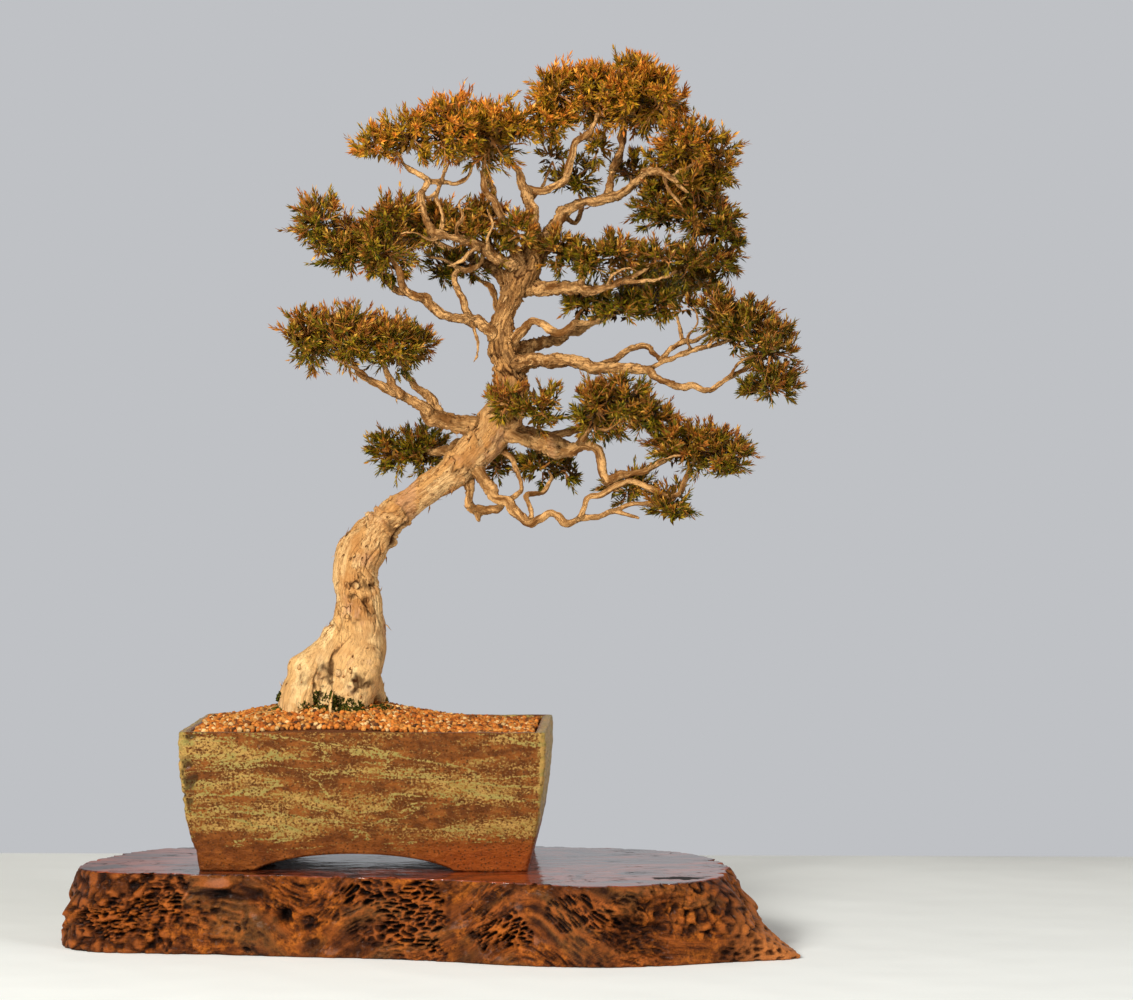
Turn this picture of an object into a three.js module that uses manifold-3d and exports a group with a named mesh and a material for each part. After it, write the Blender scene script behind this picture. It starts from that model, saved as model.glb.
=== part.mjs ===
// A prickly paperbark trained as a bonsai, in its glazed stoneware pot on a burl wood slab.
// Millimetres, +Z up. The origin is on the slab's underside, below the middle of the pot.
// +X runs to the right and +Y to the back, seen from the front of the tree.
import * as THREE from "three";
import { mergeVertices } from "three/addons/utils/BufferGeometryUtils.js";
import Module from "manifold-3d";

const wasm = await Module();
wasm.setup();

// Driving dimensions
const CLEARANCE = 0.35;
const SLAB_HEIGHT = 73;
const POT_HEIGHT = 130.5;
const POT_RIM_HALF_WIDTH = 171;
const POT_RIM_HALF_DEPTH = 110;
const POT_FOOT_INSET = 18;
const POT_WALL = 11;
const POT_CORNER = 4;
const POT_FLOOR = 25;
const ARCH_HALF_SPAN = 104;
const ARCH_MIDDLE = -9;
const ARCH_RISE = 16.5;
const DRAIN_RADIUS = 11;
const DRAIN_SPACING = 70;
const SCREEN_SIZE = 36;
const SCREEN_THICKNESS = 1.2;
const SCREEN_CELLS = 2;
const SCREEN_EYE = 13;
const GRAVEL_DEPTH = 9;
const MOUND_RISE = 25;
const MOUND_CENTRE = -33;
const STONE_PITCH = 19;
const STONE_RELIEF = 3.4;
const LEAF_LENGTH = 10.5;
const SHOOT_LENGTH = 13;
const SHOOT_SUNK = 6;
const SHOOT_RADIUS = 1.7;
const SHOOT_TIERS = 2;

const POT_BASE = SLAB_HEIGHT + CLEARANCE;
const RIM = POT_BASE + POT_HEIGHT;
const GRAVEL_BED = RIM - GRAVEL_DEPTH;

// Finishes
const bark = new THREE.MeshStandardMaterial({ color: 0xcdaa74, roughness: 0.9, metalness: 0 });
const lacquer = new THREE.MeshStandardMaterial({ color: 0x6b3a22, roughness: 0.3, metalness: 0 });
const glaze = new THREE.MeshStandardMaterial({ color: 0x8a6b35, roughness: 0.35, metalness: 0 });
const plastic = new THREE.MeshStandardMaterial({ color: 0x1d1d1f, roughness: 0.6, metalness: 0 });
const loam = new THREE.MeshStandardMaterial({ color: 0x4a3524, roughness: 1, metalness: 0 });
const grit = new THREE.MeshStandardMaterial({ color: 0xb9733c, roughness: 0.9, metalness: 0 });
const sunlitLeaf = new THREE.MeshStandardMaterial({ color: 0x8a6a26, roughness: 0.6, metalness: 0 });
const shadedLeaf = new THREE.MeshStandardMaterial({ color: 0x46511d, roughness: 0.6, metalness: 0 });

// A seeded draw between 0 and 1, so that every run places the shoots alike.
function seededDraw(seed) {
  let state = seed >>> 0;
  return () => {
    state = (state + 0x6d2b79f5) >>> 0;
    let mixed = Math.imul(state ^ (state >>> 15), 1 | state);
    mixed = (mixed + Math.imul(mixed ^ (mixed >>> 7), 61 | mixed)) ^ mixed;
    return ((mixed ^ (mixed >>> 14)) >>> 0) / 4294967296;
  };
}

// Solids and meshes
function solidOf(geometry) {
  const bare = geometry.clone();
  bare.deleteAttribute("normal");
  bare.deleteAttribute("uv");
  const merged = mergeVertices(bare, 1e-4);
  const vertProperties = new Float32Array(merged.attributes.position.array);
  const triVerts = new Uint32Array(merged.index.array);
  return new wasm.Manifold(new wasm.Mesh({ numProp: 3, vertProperties, triVerts }));
}

function meshOf(name, solid, material) {
  const made = solid.getMesh();
  const geometry = new THREE.BufferGeometry();
  geometry.setAttribute("position", new THREE.BufferAttribute(made.vertProperties, 3));
  geometry.setIndex(new THREE.BufferAttribute(made.triVerts, 1));
  geometry.computeVertexNormals();
  const mesh = new THREE.Mesh(geometry, material);
  mesh.name = name;
  return mesh;
}

function joined(solids) {
  return solids.reduce((whole, solid) => whole.add(solid));
}

function largestBody(solid) {
  return solid.decompose().reduce((most, body) => (body.volume() > most.volume() ? body : most));
}

// Moves every point of a geometry by a rule that takes and gives a Vector3.
function reshape(geometry, rule) {
  const position = geometry.attributes.position;
  const point = new THREE.Vector3();
  for (let index = 0; index < position.count; index += 1) {
    point.fromBufferAttribute(position, index);
    const moved = rule(point.clone());
    position.setXYZ(index, moved.x, moved.y, moved.z);
  }
  return geometry;
}

// Display slab: a sawn burl with a flat top and underside and a wild, ropey edge.
// Both outlines run the same way round, each as twenty-three places on the natural edge.
const slabTopOutline = [
  [-266, -72], [-264, -20], [-248, 34], [-224, 72], [-180, 98], [-120, 108], [0, 114], [100, 120],
  [180, 108], [245, 94], [292, 70], [325, 20], [338, -40], [334, -100], [312, -152], [265, -184],
  [215, -196], [165, -180], [80, -148], [0, -134], [-100, -120], [-180, -112], [-235, -104],
];
const slabFootOutline = [
  [-284, -62], [-281, -10], [-268, 34], [-240, 74], [-190, 98], [-120, 110], [0, 116], [100, 124],
  [180, 113], [250, 99], [314, 72], [348, 14], [364, -46], [388, -96], [404, -130], [340, -158],
  [240, -192], [150, -184], [60, -154], [-30, -138], [-120, -124], [-200, -118], [-262, -104],
];
const SLAB_COLUMNS = 64;
const SLAB_ROWS = 5;

function displaySlab() {
  const topEdge = closedEdge(slabTopOutline);
  const footEdge = closedEdge(slabFootOutline);
  const block = new THREE.CylinderGeometry(1, 1, 1, SLAB_COLUMNS, SLAB_ROWS);
  return solidOf(
    reshape(block, (point) => {
      const height = point.y + 0.5;
      const spread = Math.hypot(point.x, point.z);
      const turn = (Math.atan2(point.z, point.x) / (2 * Math.PI) + 1) % 1;
      const top = topEdge.getPoint(turn);
      const foot = footEdge.getPoint(turn);
      const edge = foot.clone().lerp(top, height ** 0.8);
      const belly = Math.sin(Math.PI * height);
      const ropes = 5 * Math.sin(88 * turn + 7 * height) + 3.5 * Math.sin(157 * turn - 5 * height);
      const grown = 1 + (belly * (ropes + 3)) / edge.length();
      const placed = edge.multiplyScalar(spread * grown);
      return new THREE.Vector3(placed.x, placed.y, height * SLAB_HEIGHT);
    }),
  );
}

function closedEdge(outline) {
  const places = outline.map(([x, y]) => new THREE.Vector3(x, y, 0));
  return new THREE.CatmullRomCurve3(places, true, "centripetal");
}

// Pot: a slab-built oblong with walls that stand nearly upright and draw in towards the feet,
// an arch cut through from front to back, and two drainage holes in its floor.
function potInset(height) {
  const fall = Math.max(0, 1 - height / 105);
  return POT_FOOT_INSET * (0.35 * fall + 0.65 * fall ** 2.2);
}

function oblong(shrink, corner, low, high, rows) {
  const block = new THREE.CylinderGeometry(1, 1, 1, 8, rows);
  return solidOf(
    reshape(block, (point) => {
      const height = low + (high - low) * (point.y + 0.5);
      const inset = potInset(height) + shrink;
      const spread = Math.hypot(point.x, point.z);
      const step = Math.round(Math.atan2(point.x, point.z) / (Math.PI / 4) + 8) % 8;
      const [sideX, sideY, cutX, cutY] = oblongCorners[step];
      const x = sideX * (POT_RIM_HALF_WIDTH - inset - cutX * corner);
      const y = sideY * (POT_RIM_HALF_DEPTH - inset - cutY * corner);
      return new THREE.Vector3(x * spread, y * spread, POT_BASE + height);
    }),
  );
}

// The eight corners of a chamfered oblong: its quarter, and which side the chamfer shortens.
const oblongCorners = [
  [1, 1, 0, 1], [1, 1, 1, 0], [-1, 1, 1, 0], [-1, 1, 0, 1],
  [-1, -1, 0, 1], [-1, -1, 1, 0], [1, -1, 1, 0], [1, -1, 0, 1],
];

function potCavity(shrink) {
  return oblong(POT_WALL + shrink, 0.5, POT_FLOOR, POT_HEIGHT + POT_WALL, 8);
}

function drainPlaces() {
  return [-DRAIN_SPACING, DRAIN_SPACING].map((x) => new THREE.Vector3(x, 0, POT_BASE));
}

function pot() {
  const body = oblong(0, POT_CORNER, 0, POT_HEIGHT, 9);
  const opening = new THREE.Shape();
  opening.moveTo(ARCH_MIDDLE - ARCH_HALF_SPAN, -POT_WALL);
  opening.lineTo(ARCH_MIDDLE + ARCH_HALF_SPAN, -POT_WALL);
  opening.lineTo(ARCH_MIDDLE + ARCH_HALF_SPAN, 0);
  const shoulder = 0.42 * ARCH_HALF_SPAN;
  const crest = ARCH_RISE / 0.75;
  opening.bezierCurveTo(
    ARCH_MIDDLE + ARCH_HALF_SPAN - shoulder, crest,
    ARCH_MIDDLE - ARCH_HALF_SPAN + shoulder, crest,
    ARCH_MIDDLE - ARCH_HALF_SPAN, 0,
  );
  opening.closePath();
  const reach = 2 * POT_RIM_HALF_DEPTH + 20;
  const arch = new THREE.ExtrudeGeometry(opening, {
    depth: reach, bevelEnabled: false, curveSegments: 12,
  });
  arch.rotateX(Math.PI / 2).translate(0, reach / 2, POT_BASE);
  const drains = drainPlaces().map((place) => {
    const drain = new THREE.CylinderGeometry(DRAIN_RADIUS, DRAIN_RADIUS, POT_HEIGHT, 12);
    return solidOf(drain.rotateX(Math.PI / 2).translate(place.x, place.y, place.z));
  });
  return body.subtract(potCavity(0)).subtract(solidOf(arch)).subtract(joined(drains));
}

// Drain screen: a square of plastic mesh laid over a drainage hole.
function drainScreen() {
  const plate = solidOf(new THREE.BoxGeometry(SCREEN_SIZE, SCREEN_SIZE, SCREEN_THICKNESS));
  const pitch = SCREEN_SIZE / SCREEN_CELLS;
  const eyes = [];
  for (let column = 0; column < SCREEN_CELLS; column += 1) {
    for (let row = 0; row < SCREEN_CELLS; row += 1) {
      const eye = new THREE.BoxGeometry(SCREEN_EYE, SCREEN_EYE, 3 * SCREEN_THICKNESS);
      const x = (column + 0.5) * pitch - SCREEN_SIZE / 2;
      const y = (row + 0.5) * pitch - SCREEN_SIZE / 2;
      eyes.push(solidOf(eye.translate(x, y, 0)));
    }
  }
  return plate.subtract(joined(eyes));
}

// Soil: fills the pot to the gravel bed and rises in a blunt mound under the trunk.
function soil() {
  const filling = potCavity(CLEARANCE);
  const low = POT_BASE + POT_FLOOR + CLEARANCE;
  const layer = new THREE.BoxGeometry(2 * POT_RIM_HALF_WIDTH, 2 * POT_RIM_HALF_DEPTH, GRAVEL_BED - low);
  const level = solidOf(layer.translate(0, 0, (GRAVEL_BED + low) / 2));
  const screenPocket = SCREEN_SIZE + 2 * CLEARANCE;
  const pocketTop = POT_FLOOR + 2 * CLEARANCE + SCREEN_THICKNESS;
  const pockets = drainPlaces().map((place) => {
    const pocket = new THREE.BoxGeometry(screenPocket, screenPocket, 2 * pocketTop);
    return solidOf(pocket.translate(place.x, place.y, place.z));
  });
  return filling.intersect(level).subtract(joined(pockets)).add(soilMound(0));
}

function soilMound(growth) {
  const mound = new THREE.BoxGeometry(1, 1, 1);
  const sunk = 8;
  const rise = 20;
  return solidOf(
    reshape(mound, (point) => {
      const high = point.z > 0;
      const halfWidth = (high ? 40 : 120) + growth;
      const halfDepth = (high ? 30 : 82) + growth;
      const z = high ? GRAVEL_BED + rise + growth : GRAVEL_BED - sunk;
      return new THREE.Vector3(2 * point.x * halfWidth + MOUND_CENTRE, 2 * point.y * halfDepth, z);
    }),
  );
}

// Gravel top dressing: a crust of rounded stones over the soil, raised by a formula.
function moundTop(x, y) {
  return RIM - 3.5 + MOUND_RISE * Math.exp(-(((x - MOUND_CENTRE) / 106) ** 2) - (y / 85) ** 2);
}

function stoneRelief(x, y) {
  const wave = Math.sin(x * 12.9898 + y * 78.233) * 43758.5453;
  return STONE_RELIEF * (wave - Math.floor(wave));
}

function gravel() {
  const width = 2 * (POT_RIM_HALF_WIDTH - POT_WALL - 2 * CLEARANCE);
  const depth = 2 * (POT_RIM_HALF_DEPTH - POT_WALL - 2 * CLEARANCE);
  const columns = Math.round(width / STONE_PITCH);
  const rows = Math.round(depth / STONE_PITCH);
  const sheet = new THREE.BoxGeometry(width, depth, 1, columns, rows, 1);
  const crust = solidOf(
    reshape(sheet, (point) => {
      const top = moundTop(point.x, point.y) + stoneRelief(Math.round(point.x), Math.round(point.y));
      return new THREE.Vector3(point.x, point.y, point.z > 0 ? top : GRAVEL_BED - GRAVEL_DEPTH);
    }),
  );
  const below = new THREE.BoxGeometry(2 * width, 2 * depth, 4 * GRAVEL_DEPTH);
  below.translate(0, 0, GRAVEL_BED + CLEARANCE - 2 * GRAVEL_DEPTH);
  return crust.subtract(solidOf(below)).subtract(soilMound(CLEARANCE));
}

// Tree: each limb is a run of places with the radius there, from its root to its tip.
const limbs = {
  trunk: [
    [-34, 2, 172, 34], [-33, -1, 199, 42], [-31, -1, 220, 40], [-24, -1, 241, 34], [-18, -1, 262, 32],
    [-13, -2, 283, 29], [-11, -4, 304, 26], [-11, -5, 323, 24], [-13, -5, 340, 22], [-12, -4, 354, 22],
    [-6, -3, 368, 23], [3, 0, 382, 22], [16, 2, 396, 18], [32, 5, 409, 15], [51, 7, 423, 15],
    [70, 10, 437, 16], [86, 11, 449, 18], [99, 13, 462, 20], [111, 14, 477, 21], [122, 15, 494, 20],
    [131, 17, 511, 19], [133, 18, 526, 18], [130, 18, 544, 16], [125, 16, 560, 15], [124, 15, 576, 13],
    [127, 15, 592, 12.5], [133, 16, 608, 13], [140, 16, 623, 15], [148, 16, 639, 16],
    [153, 16, 654, 13],
    [155, 15, 668, 10], [153, 13, 684, 8], [150, 11, 699, 7], [147, 9, 713, 6], [141, 6, 726, 4.4],
    [134, 2, 735, 3.2],
  ],
  leftRoot: [
    [-24, -5, 277, 15], [-45, -13, 264, 18], [-61, -18, 250, 20], [-68, -20, 229, 22],
    [-71, -22, 200, 23],
  ],
  rightRoot: [
    [-7, -12, 282, 17], [-5, -16, 263, 22], [-8, -18, 242, 23], [-9, -20, 222, 23],
    [-10, -20, 196, 24],
  ],
  backRoot: [[-23, 13, 272, 17], [-27, 27, 248, 16], [-31, 41, 222, 14], [-34, 53, 196, 12]],
  backRightRoot: [[-5, 10, 267, 13], [7, 20, 241, 12], [18, 30, 220, 10], [25, 41, 199, 9]],
  backLeftRoot: [[-44, 9, 259, 13], [-62, 22, 237, 12], [-73, 32, 217, 11], [-79, 42, 199, 9]],
  aerialRoot: [[-29, -31, 254, 3], [-31, -43, 238, 2.4], [-33, -48, 224, 2.4], [-33, -51, 209, 2.6]],
  lowLeft: [
    [115, 14, 482, 14], [92, 8, 488, 11], [73, 2, 492, 10], [58, -3, 497, 9], [43, -9, 506, 7.6],
    [29, -13, 516, 6.6], [16, -17, 521, 5.5], [3, -20, 527, 4.5], [-8, -22, 535, 3.8],
    [-20, -20, 552, 2.8],
  ],
  lowLeftInner: [
    [71, 2, 494, 6.7], [57, 9, 509, 6.2], [46, 13, 521, 5.2], [34, 17, 532, 4.3],
    [28, 12, 550, 3.2],
  ],
  lowLeftMiddle: [[31, -13, 514, 5.7], [22, -13, 526, 5.2], [17, -14, 537, 4.3], [12, -14, 552, 3]],
  lowBackLeft: [
    [109, 17, 475, 11], [88, 46, 469, 7.7], [64, 82, 463, 6.3], [44, 105, 460, 4.4],
    [22, 113, 459, 2.8],
  ],
  midLeft: [
    [124, 15, 566, 11], [111, 11, 575, 8], [98, 5, 585, 7], [83, -2, 588, 6.5], [69, -7, 592, 6.2],
    [57, -12, 602, 6], [47, -17, 608, 6], [38, -20, 612, 5.7], [31, -24, 619, 5.1], [28, -27, 630, 4.3],
    [20, -20, 650, 3],
  ],
  midLeftOuter: [
    [39, -19, 612, 5.1], [26, -15, 614, 4.9], [16, -11, 622, 4.4], [4, -8, 634, 3.8],
    [-14, -6, 650, 2.8],
  ],
  midLeftUpright: [
    [96, 5, 586, 5.1], [89, 8, 598, 5], [83, 12, 614, 4.6], [79, 14, 628, 4.2], [83, 15, 637, 4],
    [76, 14, 642, 3.4], [64, 12, 645, 3], [53, 4, 647, 2.4],
  ],
  midLeftHook: [
    [82, 15, 637, 3.8], [93, 18, 635, 4], [103, 20, 642, 3.8], [106, 16, 656, 3.2],
    [108, 8, 674, 2.4],
  ],
  midLeftDead: [
    [95, 2, 587, 3], [98, -1, 576, 2.6], [102, -3, 565, 2.3], [101, -4, 553, 2], [97, -4, 545, 1.4],
  ],
  innerLeft: [
    [124, 17, 587, 6.7], [119, 25, 604, 4.8], [114, 33, 616, 4.4], [106, 41, 623, 3.8],
    [92, 50, 632, 2.8],
  ],
  highLeft: [
    [145, 14, 637, 13], [130, 4, 642, 9], [117, -7, 647, 7.6], [105, -15, 655, 6.6],
    [88, -24, 661, 5.7],
    [72, -29, 664, 5.3], [59, -32, 670, 5.1], [53, -34, 681, 5], [52, -34, 692, 4.8],
    [50, -32, 702, 4.5],
    [54, -29, 711, 4.2], [55, -27, 718, 4], [46, -28, 724, 3.8], [37, -30, 731, 3.4],
    [26, -33, 744, 2.6],
  ],
  highLeftLoop: [
    [70, -28, 665, 3.2], [69, -27, 686, 3], [65, -25, 701, 2.8], [67, -22, 713, 3],
    [74, -20, 732, 2.4],
  ],
  highLeftRung: [[50, -32, 700, 3.4], [59, -28, 702, 3], [65, -24, 707, 2.8]],
  highLeftFork: [
    [55, -27, 717, 4], [67, -21, 716, 3.4], [79, -15, 716, 3.2], [91, -11, 721, 3],
    [100, -10, 737, 2.4],
  ],
  highLeftInner: [
    [144, 8, 642, 8.6], [133, -2, 662, 5.7], [126, -7, 679, 4.9], [120, -8, 696, 4.9],
    [112, -8, 707, 4.7],
    [108, -9, 720, 4], [110, -12, 738, 3],
  ],
  centreFrontTwig: [[135, -1, 661, 4.4], [139, -12, 662, 3.4], [141, -26, 668, 2.6]],
  apexLeft: [
    [148, 10, 711, 6.1], [164, 7, 711, 5.3], [178, 5, 716, 5.3], [187, 3, 725, 5.3], [190, 1, 738, 5.1],
    [194, -1, 750, 4.9], [203, -3, 759, 4.6], [212, -2, 770, 3.8], [216, 4, 784, 2.8],
  ],
  highRight: [
    [148, 20, 637, 13], [164, 26, 658, 11], [175, 31, 677, 9], [185, 33, 691, 7.5], [198, 33, 699, 6.5],
    [214, 32, 702, 6.3], [229, 30, 703, 5.9], [241, 29, 708, 5.5], [251, 27, 717, 5],
    [258, 25, 725, 4.8],
    [267, 22, 727, 4.6], [277, 18, 720, 4], [290, 16, 706, 3], [304, 16, 698, 2.4],
  ],
  apexRight: [
    [220, 31, 702, 4.8], [227, 30, 713, 4.8], [229, 28, 726, 4.4], [232, 26, 739, 4.4],
    [237, 24, 751, 4.2],
    [236, 23, 761, 3.8], [240, 20, 774, 3.1], [246, 16, 790, 2.4],
  ],
  highRightBack: [[185, 35, 685, 4.8], [194, 49, 680, 3.7], [199, 59, 694, 3.3], [196, 66, 712, 2.6]],
  smallBackLeftTwig: [[150, 12, 700, 4], [160, 24, 712, 3], [168, 35, 728, 2.6], [170, 40, 738, 2.2]],
  smallUnderTopTwig: [[204, -2, 760, 3.4], [212, 8, 756, 2.6], [216, 16, 753, 2.2]],
  smallBackRightTwig: [[242, 29, 709, 4], [246, 42, 718, 3], [247, 52, 727, 2.4]],
  midRight: [
    [143, 18, 620, 13], [162, 13, 616, 9.5], [180, 8, 618, 8.2], [196, 1, 615, 7.6],
    [210, -5, 614, 6.1],
    [224, -12, 617, 4.7], [238, -18, 622, 4], [252, -20, 628, 3.2], [266, -19, 638, 2.4],
  ],
  midRightUpright: [[196, 0, 614, 5], [203, -5, 626, 3.8], [209, -8, 643, 2.8]],
  midRightFork: [
    [238, -18, 622, 3.4], [262, -26, 622, 2.8], [284, -24, 628, 2.6], [300, -16, 638, 2.2],
  ],
  midRightLow: [
    [130, 14, 563, 7.6], [141, 6, 574, 6.3], [152, -2, 583, 5.9], [164, -8, 581, 5.7],
    [173, -11, 574, 5.5],
    [182, -12, 572, 5.7], [189, -9, 579, 5.5], [194, -3, 584, 4.4], [206, 8, 584, 3.6],
    [222, 20, 590, 2.6],
  ],
  midRightLowBack: [[192, -4, 582, 4.2], [196, 10, 590, 3.2], [202, 24, 599, 2.4]],
  longRight: [
    [132, 16, 543, 14], [151, 8, 546, 9.3], [166, -2, 549, 8.7], [182, -9, 548, 8.1],
    [199, -18, 545, 7.7],
    [218, -26, 541, 7.7], [235, -34, 539, 7.5], [251, -40, 539, 6.4], [264, -45, 537, 5.6],
    [272, -48, 531, 5],
    [283, -51, 527, 4.7], [296, -55, 523, 4.5], [307, -58, 523, 4.3], [315, -62, 519, 4.2],
    [325, -64, 522, 3.9],
    [337, -67, 529, 3.5], [352, -62, 538, 3], [370, -56, 550, 2.4],
  ],
  longRightUpper: [
    [261, -43, 538, 5.1], [275, -40, 544, 4.3], [290, -37, 550, 4], [304, -35, 556, 3.8],
    [320, -34, 560, 3.4],
    [336, -36, 566, 2.9], [352, -40, 574, 2.4],
  ],
  longRightBow: [
    [221, -27, 543, 5.1], [234, -20, 551, 4.6], [247, -13, 558, 4.4], [261, -11, 562, 4.3],
    [269, -17, 555, 4.1],
    [276, -33, 547, 3.8],
  ],
  longRightRise: [
    [275, -37, 546, 3.9], [285, -28, 558, 3.7], [296, -22, 564, 3.7], [310, -20, 566, 3],
    [324, -27, 578, 2.5],
  ],
  longRightTwig: [[296, -22, 563, 3.2], [295, -19, 576, 3], [291, -16, 590, 2.6], [282, 4, 600, 2.2]],
  lowRight: [
    [120, 12, 484, 14], [142, 1, 476, 9.5], [161, -8, 470, 10.4], [177, -14, 466, 11.8],
    [192, -21, 465, 9],
    [206, -27, 467, 7.2], [217, -32, 459, 6.2], [220, -35, 447, 5.8], [223, -37, 434, 6],
    [234, -40, 438, 5.1],
    [249, -43, 442, 4.5], [264, -47, 446, 4.1], [277, -52, 452, 3.4], [290, -57, 461, 2.6],
  ],
  lowRightFront: [
    [126, 7, 488, 9.5], [136, -12, 488, 6], [142, -30, 490, 4], [146, -41, 496, 3.2],
    [149, -46, 505, 2.6],
  ],
  lowRightUp: [[198, -24, 466, 5.7], [205, -36, 477, 4.3], [212, -48, 487, 3.4], [218, -56, 496, 2.6]],
  lowRightUnder: [[223, -37, 434, 4.4], [232, -34, 427, 3.2], [242, -28, 425, 2.4]],
  lowestRight: [
    [98, 11, 450, 12.4], [108, -3, 435, 7.6], [119, -13, 423, 6.8], [131, -21, 413, 6.4],
    [143, -28, 402, 5.8],
    [155, -34, 393, 5.5], [163, -38, 398, 4.9], [169, -39, 405, 4.6], [177, -41, 404, 4.6],
    [185, -43, 395, 4.6],
    [194, -45, 397, 4.3], [206, -46, 400, 4], [218, -48, 401, 3.7], [230, -49, 407, 3.6],
    [244, -49, 412, 3.2],
    [260, -50, 413, 2.8], [280, -50, 411, 2.4],
  ],
  lowestRightFork: [[230, -49, 406, 3.2], [243, -51, 404, 2.8], [256, -53, 400, 2.2]],
  lowestRightRise: [
    [199, -46, 398, 3.9], [204, -49, 409, 3.6], [209, -50, 419, 3.6], [222, -51, 423, 3.6],
    [232, -51, 429, 3.7],
    [245, -49, 435, 3.9], [258, -48, 432, 3.7], [270, -48, 425, 3.6], [281, -48, 421, 3.6],
    [292, -50, 423, 3.6],
    [297, -54, 432, 3.4], [302, -57, 446, 3], [308, -60, 457, 2.4],
  ],
  zigzag: [
    [155, -34, 394, 3.9], [153, -29, 407, 3.5], [148, -22, 418, 3.4], [153, -16, 422, 3.4],
    [162, -7, 422, 3.2],
    [167, 4, 429, 2.9], [172, 18, 437, 2.7], [168, 26, 444, 2.2],
  ],
  innerLoop: [
    [130, -21, 414, 4.3], [141, -15, 421, 3.7], [145, -8, 429, 3.4], [142, 0, 440, 3.2],
    [135, 8, 452, 3.2],
    [122, 15, 464, 4],
  ],
  deadStub: [
    [92, 8, 440, 9], [93, 13, 420, 6.7], [96, 15, 409, 6.1], [109, 13, 405, 5.7], [122, 9, 407, 4.8],
    [126, 5, 414, 3.4],
  ],
  deadStubSpur: [[97, 14, 409, 4.8], [103, 13, 395, 2.3]],
  backRight: [
    [130, 20, 557, 11.5], [154, 56, 563, 8.2], [183, 89, 574, 6.8], [214, 114, 588, 5.9],
    [240, 126, 604, 4.4], [252, 129, 616, 3],
  ],
  backLeft: [
    [135, 20, 614, 11.5], [117, 53, 635, 7.7], [88, 84, 651, 6.2], [55, 106, 664, 5],
    [24, 122, 671, 3.4],
  ],
  backLow: [
    [122, 21, 488, 13.4], [144, 56, 480, 7.7], [166, 83, 476, 5.8], [190, 101, 480, 4.6],
    [212, 110, 491, 3],
  ],
  backLowTwig: [[138, 48, 481, 5], [126, 50, 468, 3], [120, 49, 456, 2.4]],
  backTop: [
    [229, 28, 729, 4.4], [238, 50, 746, 3.7], [240, 70, 766, 3.3], [237, 84, 786, 3],
    [233, 92, 799, 2.4],
  ],
  backHighLeft: [[123, -7, 689, 4.7], [114, 23, 712, 4], [106, 48, 736, 3.5], [100, 64, 756, 2.6]],
  backHighRight: [[256, 25, 721, 4.2], [271, 47, 717, 3.7], [290, 68, 715, 3]],
};

const TIP_OVERRUN = 0.6;

// A limb is a cylinder bent along a smooth curve through its places, drawn in or swelled to
// the radius at each, with the flutes of stringy bark on the thick ones.
function limbSolid(places, growth) {
  const points = places.map(([x, y, z]) => new THREE.Vector3(x, y, z));
  const rows = places.length - 1;
  if (growth > 0) {
    points[0].add(points[0].clone().sub(points[1]).setLength(TIP_OVERRUN));
    points[rows].add(points[rows].clone().sub(points[rows - 1]).setLength(TIP_OVERRUN));
  }
  const thickest = Math.max(...places.map((place) => place[3]));
  const sides = thickest > 30 ? 10 : thickest > 12 ? 6 : thickest > 8 ? 5 : 4;
  const flute = thickest > 12 ? 0.07 : 0;
  const route = new THREE.CatmullRomCurve3(points, false, "centripetal");
  const frames = carriedFrames(route, rows);
  const limb = new THREE.CylinderGeometry(1, 1, 1, sides, rows);
  return solidOf(
    reshape(limb, (point) => {
      const row = Math.round((point.y + 0.5) * rows);
      const turn = Math.atan2(point.z, point.x);
      const relief = Math.sin(3 * turn + 0.8 * row) + Math.sin(5 * turn - 0.5 * row);
      const radius = places[row][3] * (1 + flute * relief) + growth;
      const { middle, across, side } = frames[row];
      const placed = middle.clone().addScaledVector(across, point.x * radius);
      return placed.addScaledVector(side, point.z * radius);
    }),
  );
}

// The frame at each row of a curve, carried along it without twist.
function carriedFrames(route, rows) {
  const frames = [];
  let across = new THREE.Vector3(0, 1, 0);
  for (let row = 0; row <= rows; row += 1) {
    const along = route.getTangent(row / rows);
    if (row === 0 && Math.abs(along.y) > 0.9) across = new THREE.Vector3(1, 0, 0);
    across = across.clone().addScaledVector(along, -across.dot(along)).normalize();
    const side = new THREE.Vector3().crossVectors(across, along);
    frames.push({ middle: route.getPoint(row / rows), across, side });
  }
  return frames;
}

function treeWood(growth) {
  return joined(Object.values(limbs).map((places) => limbSolid(places, growth)));
}

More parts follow.
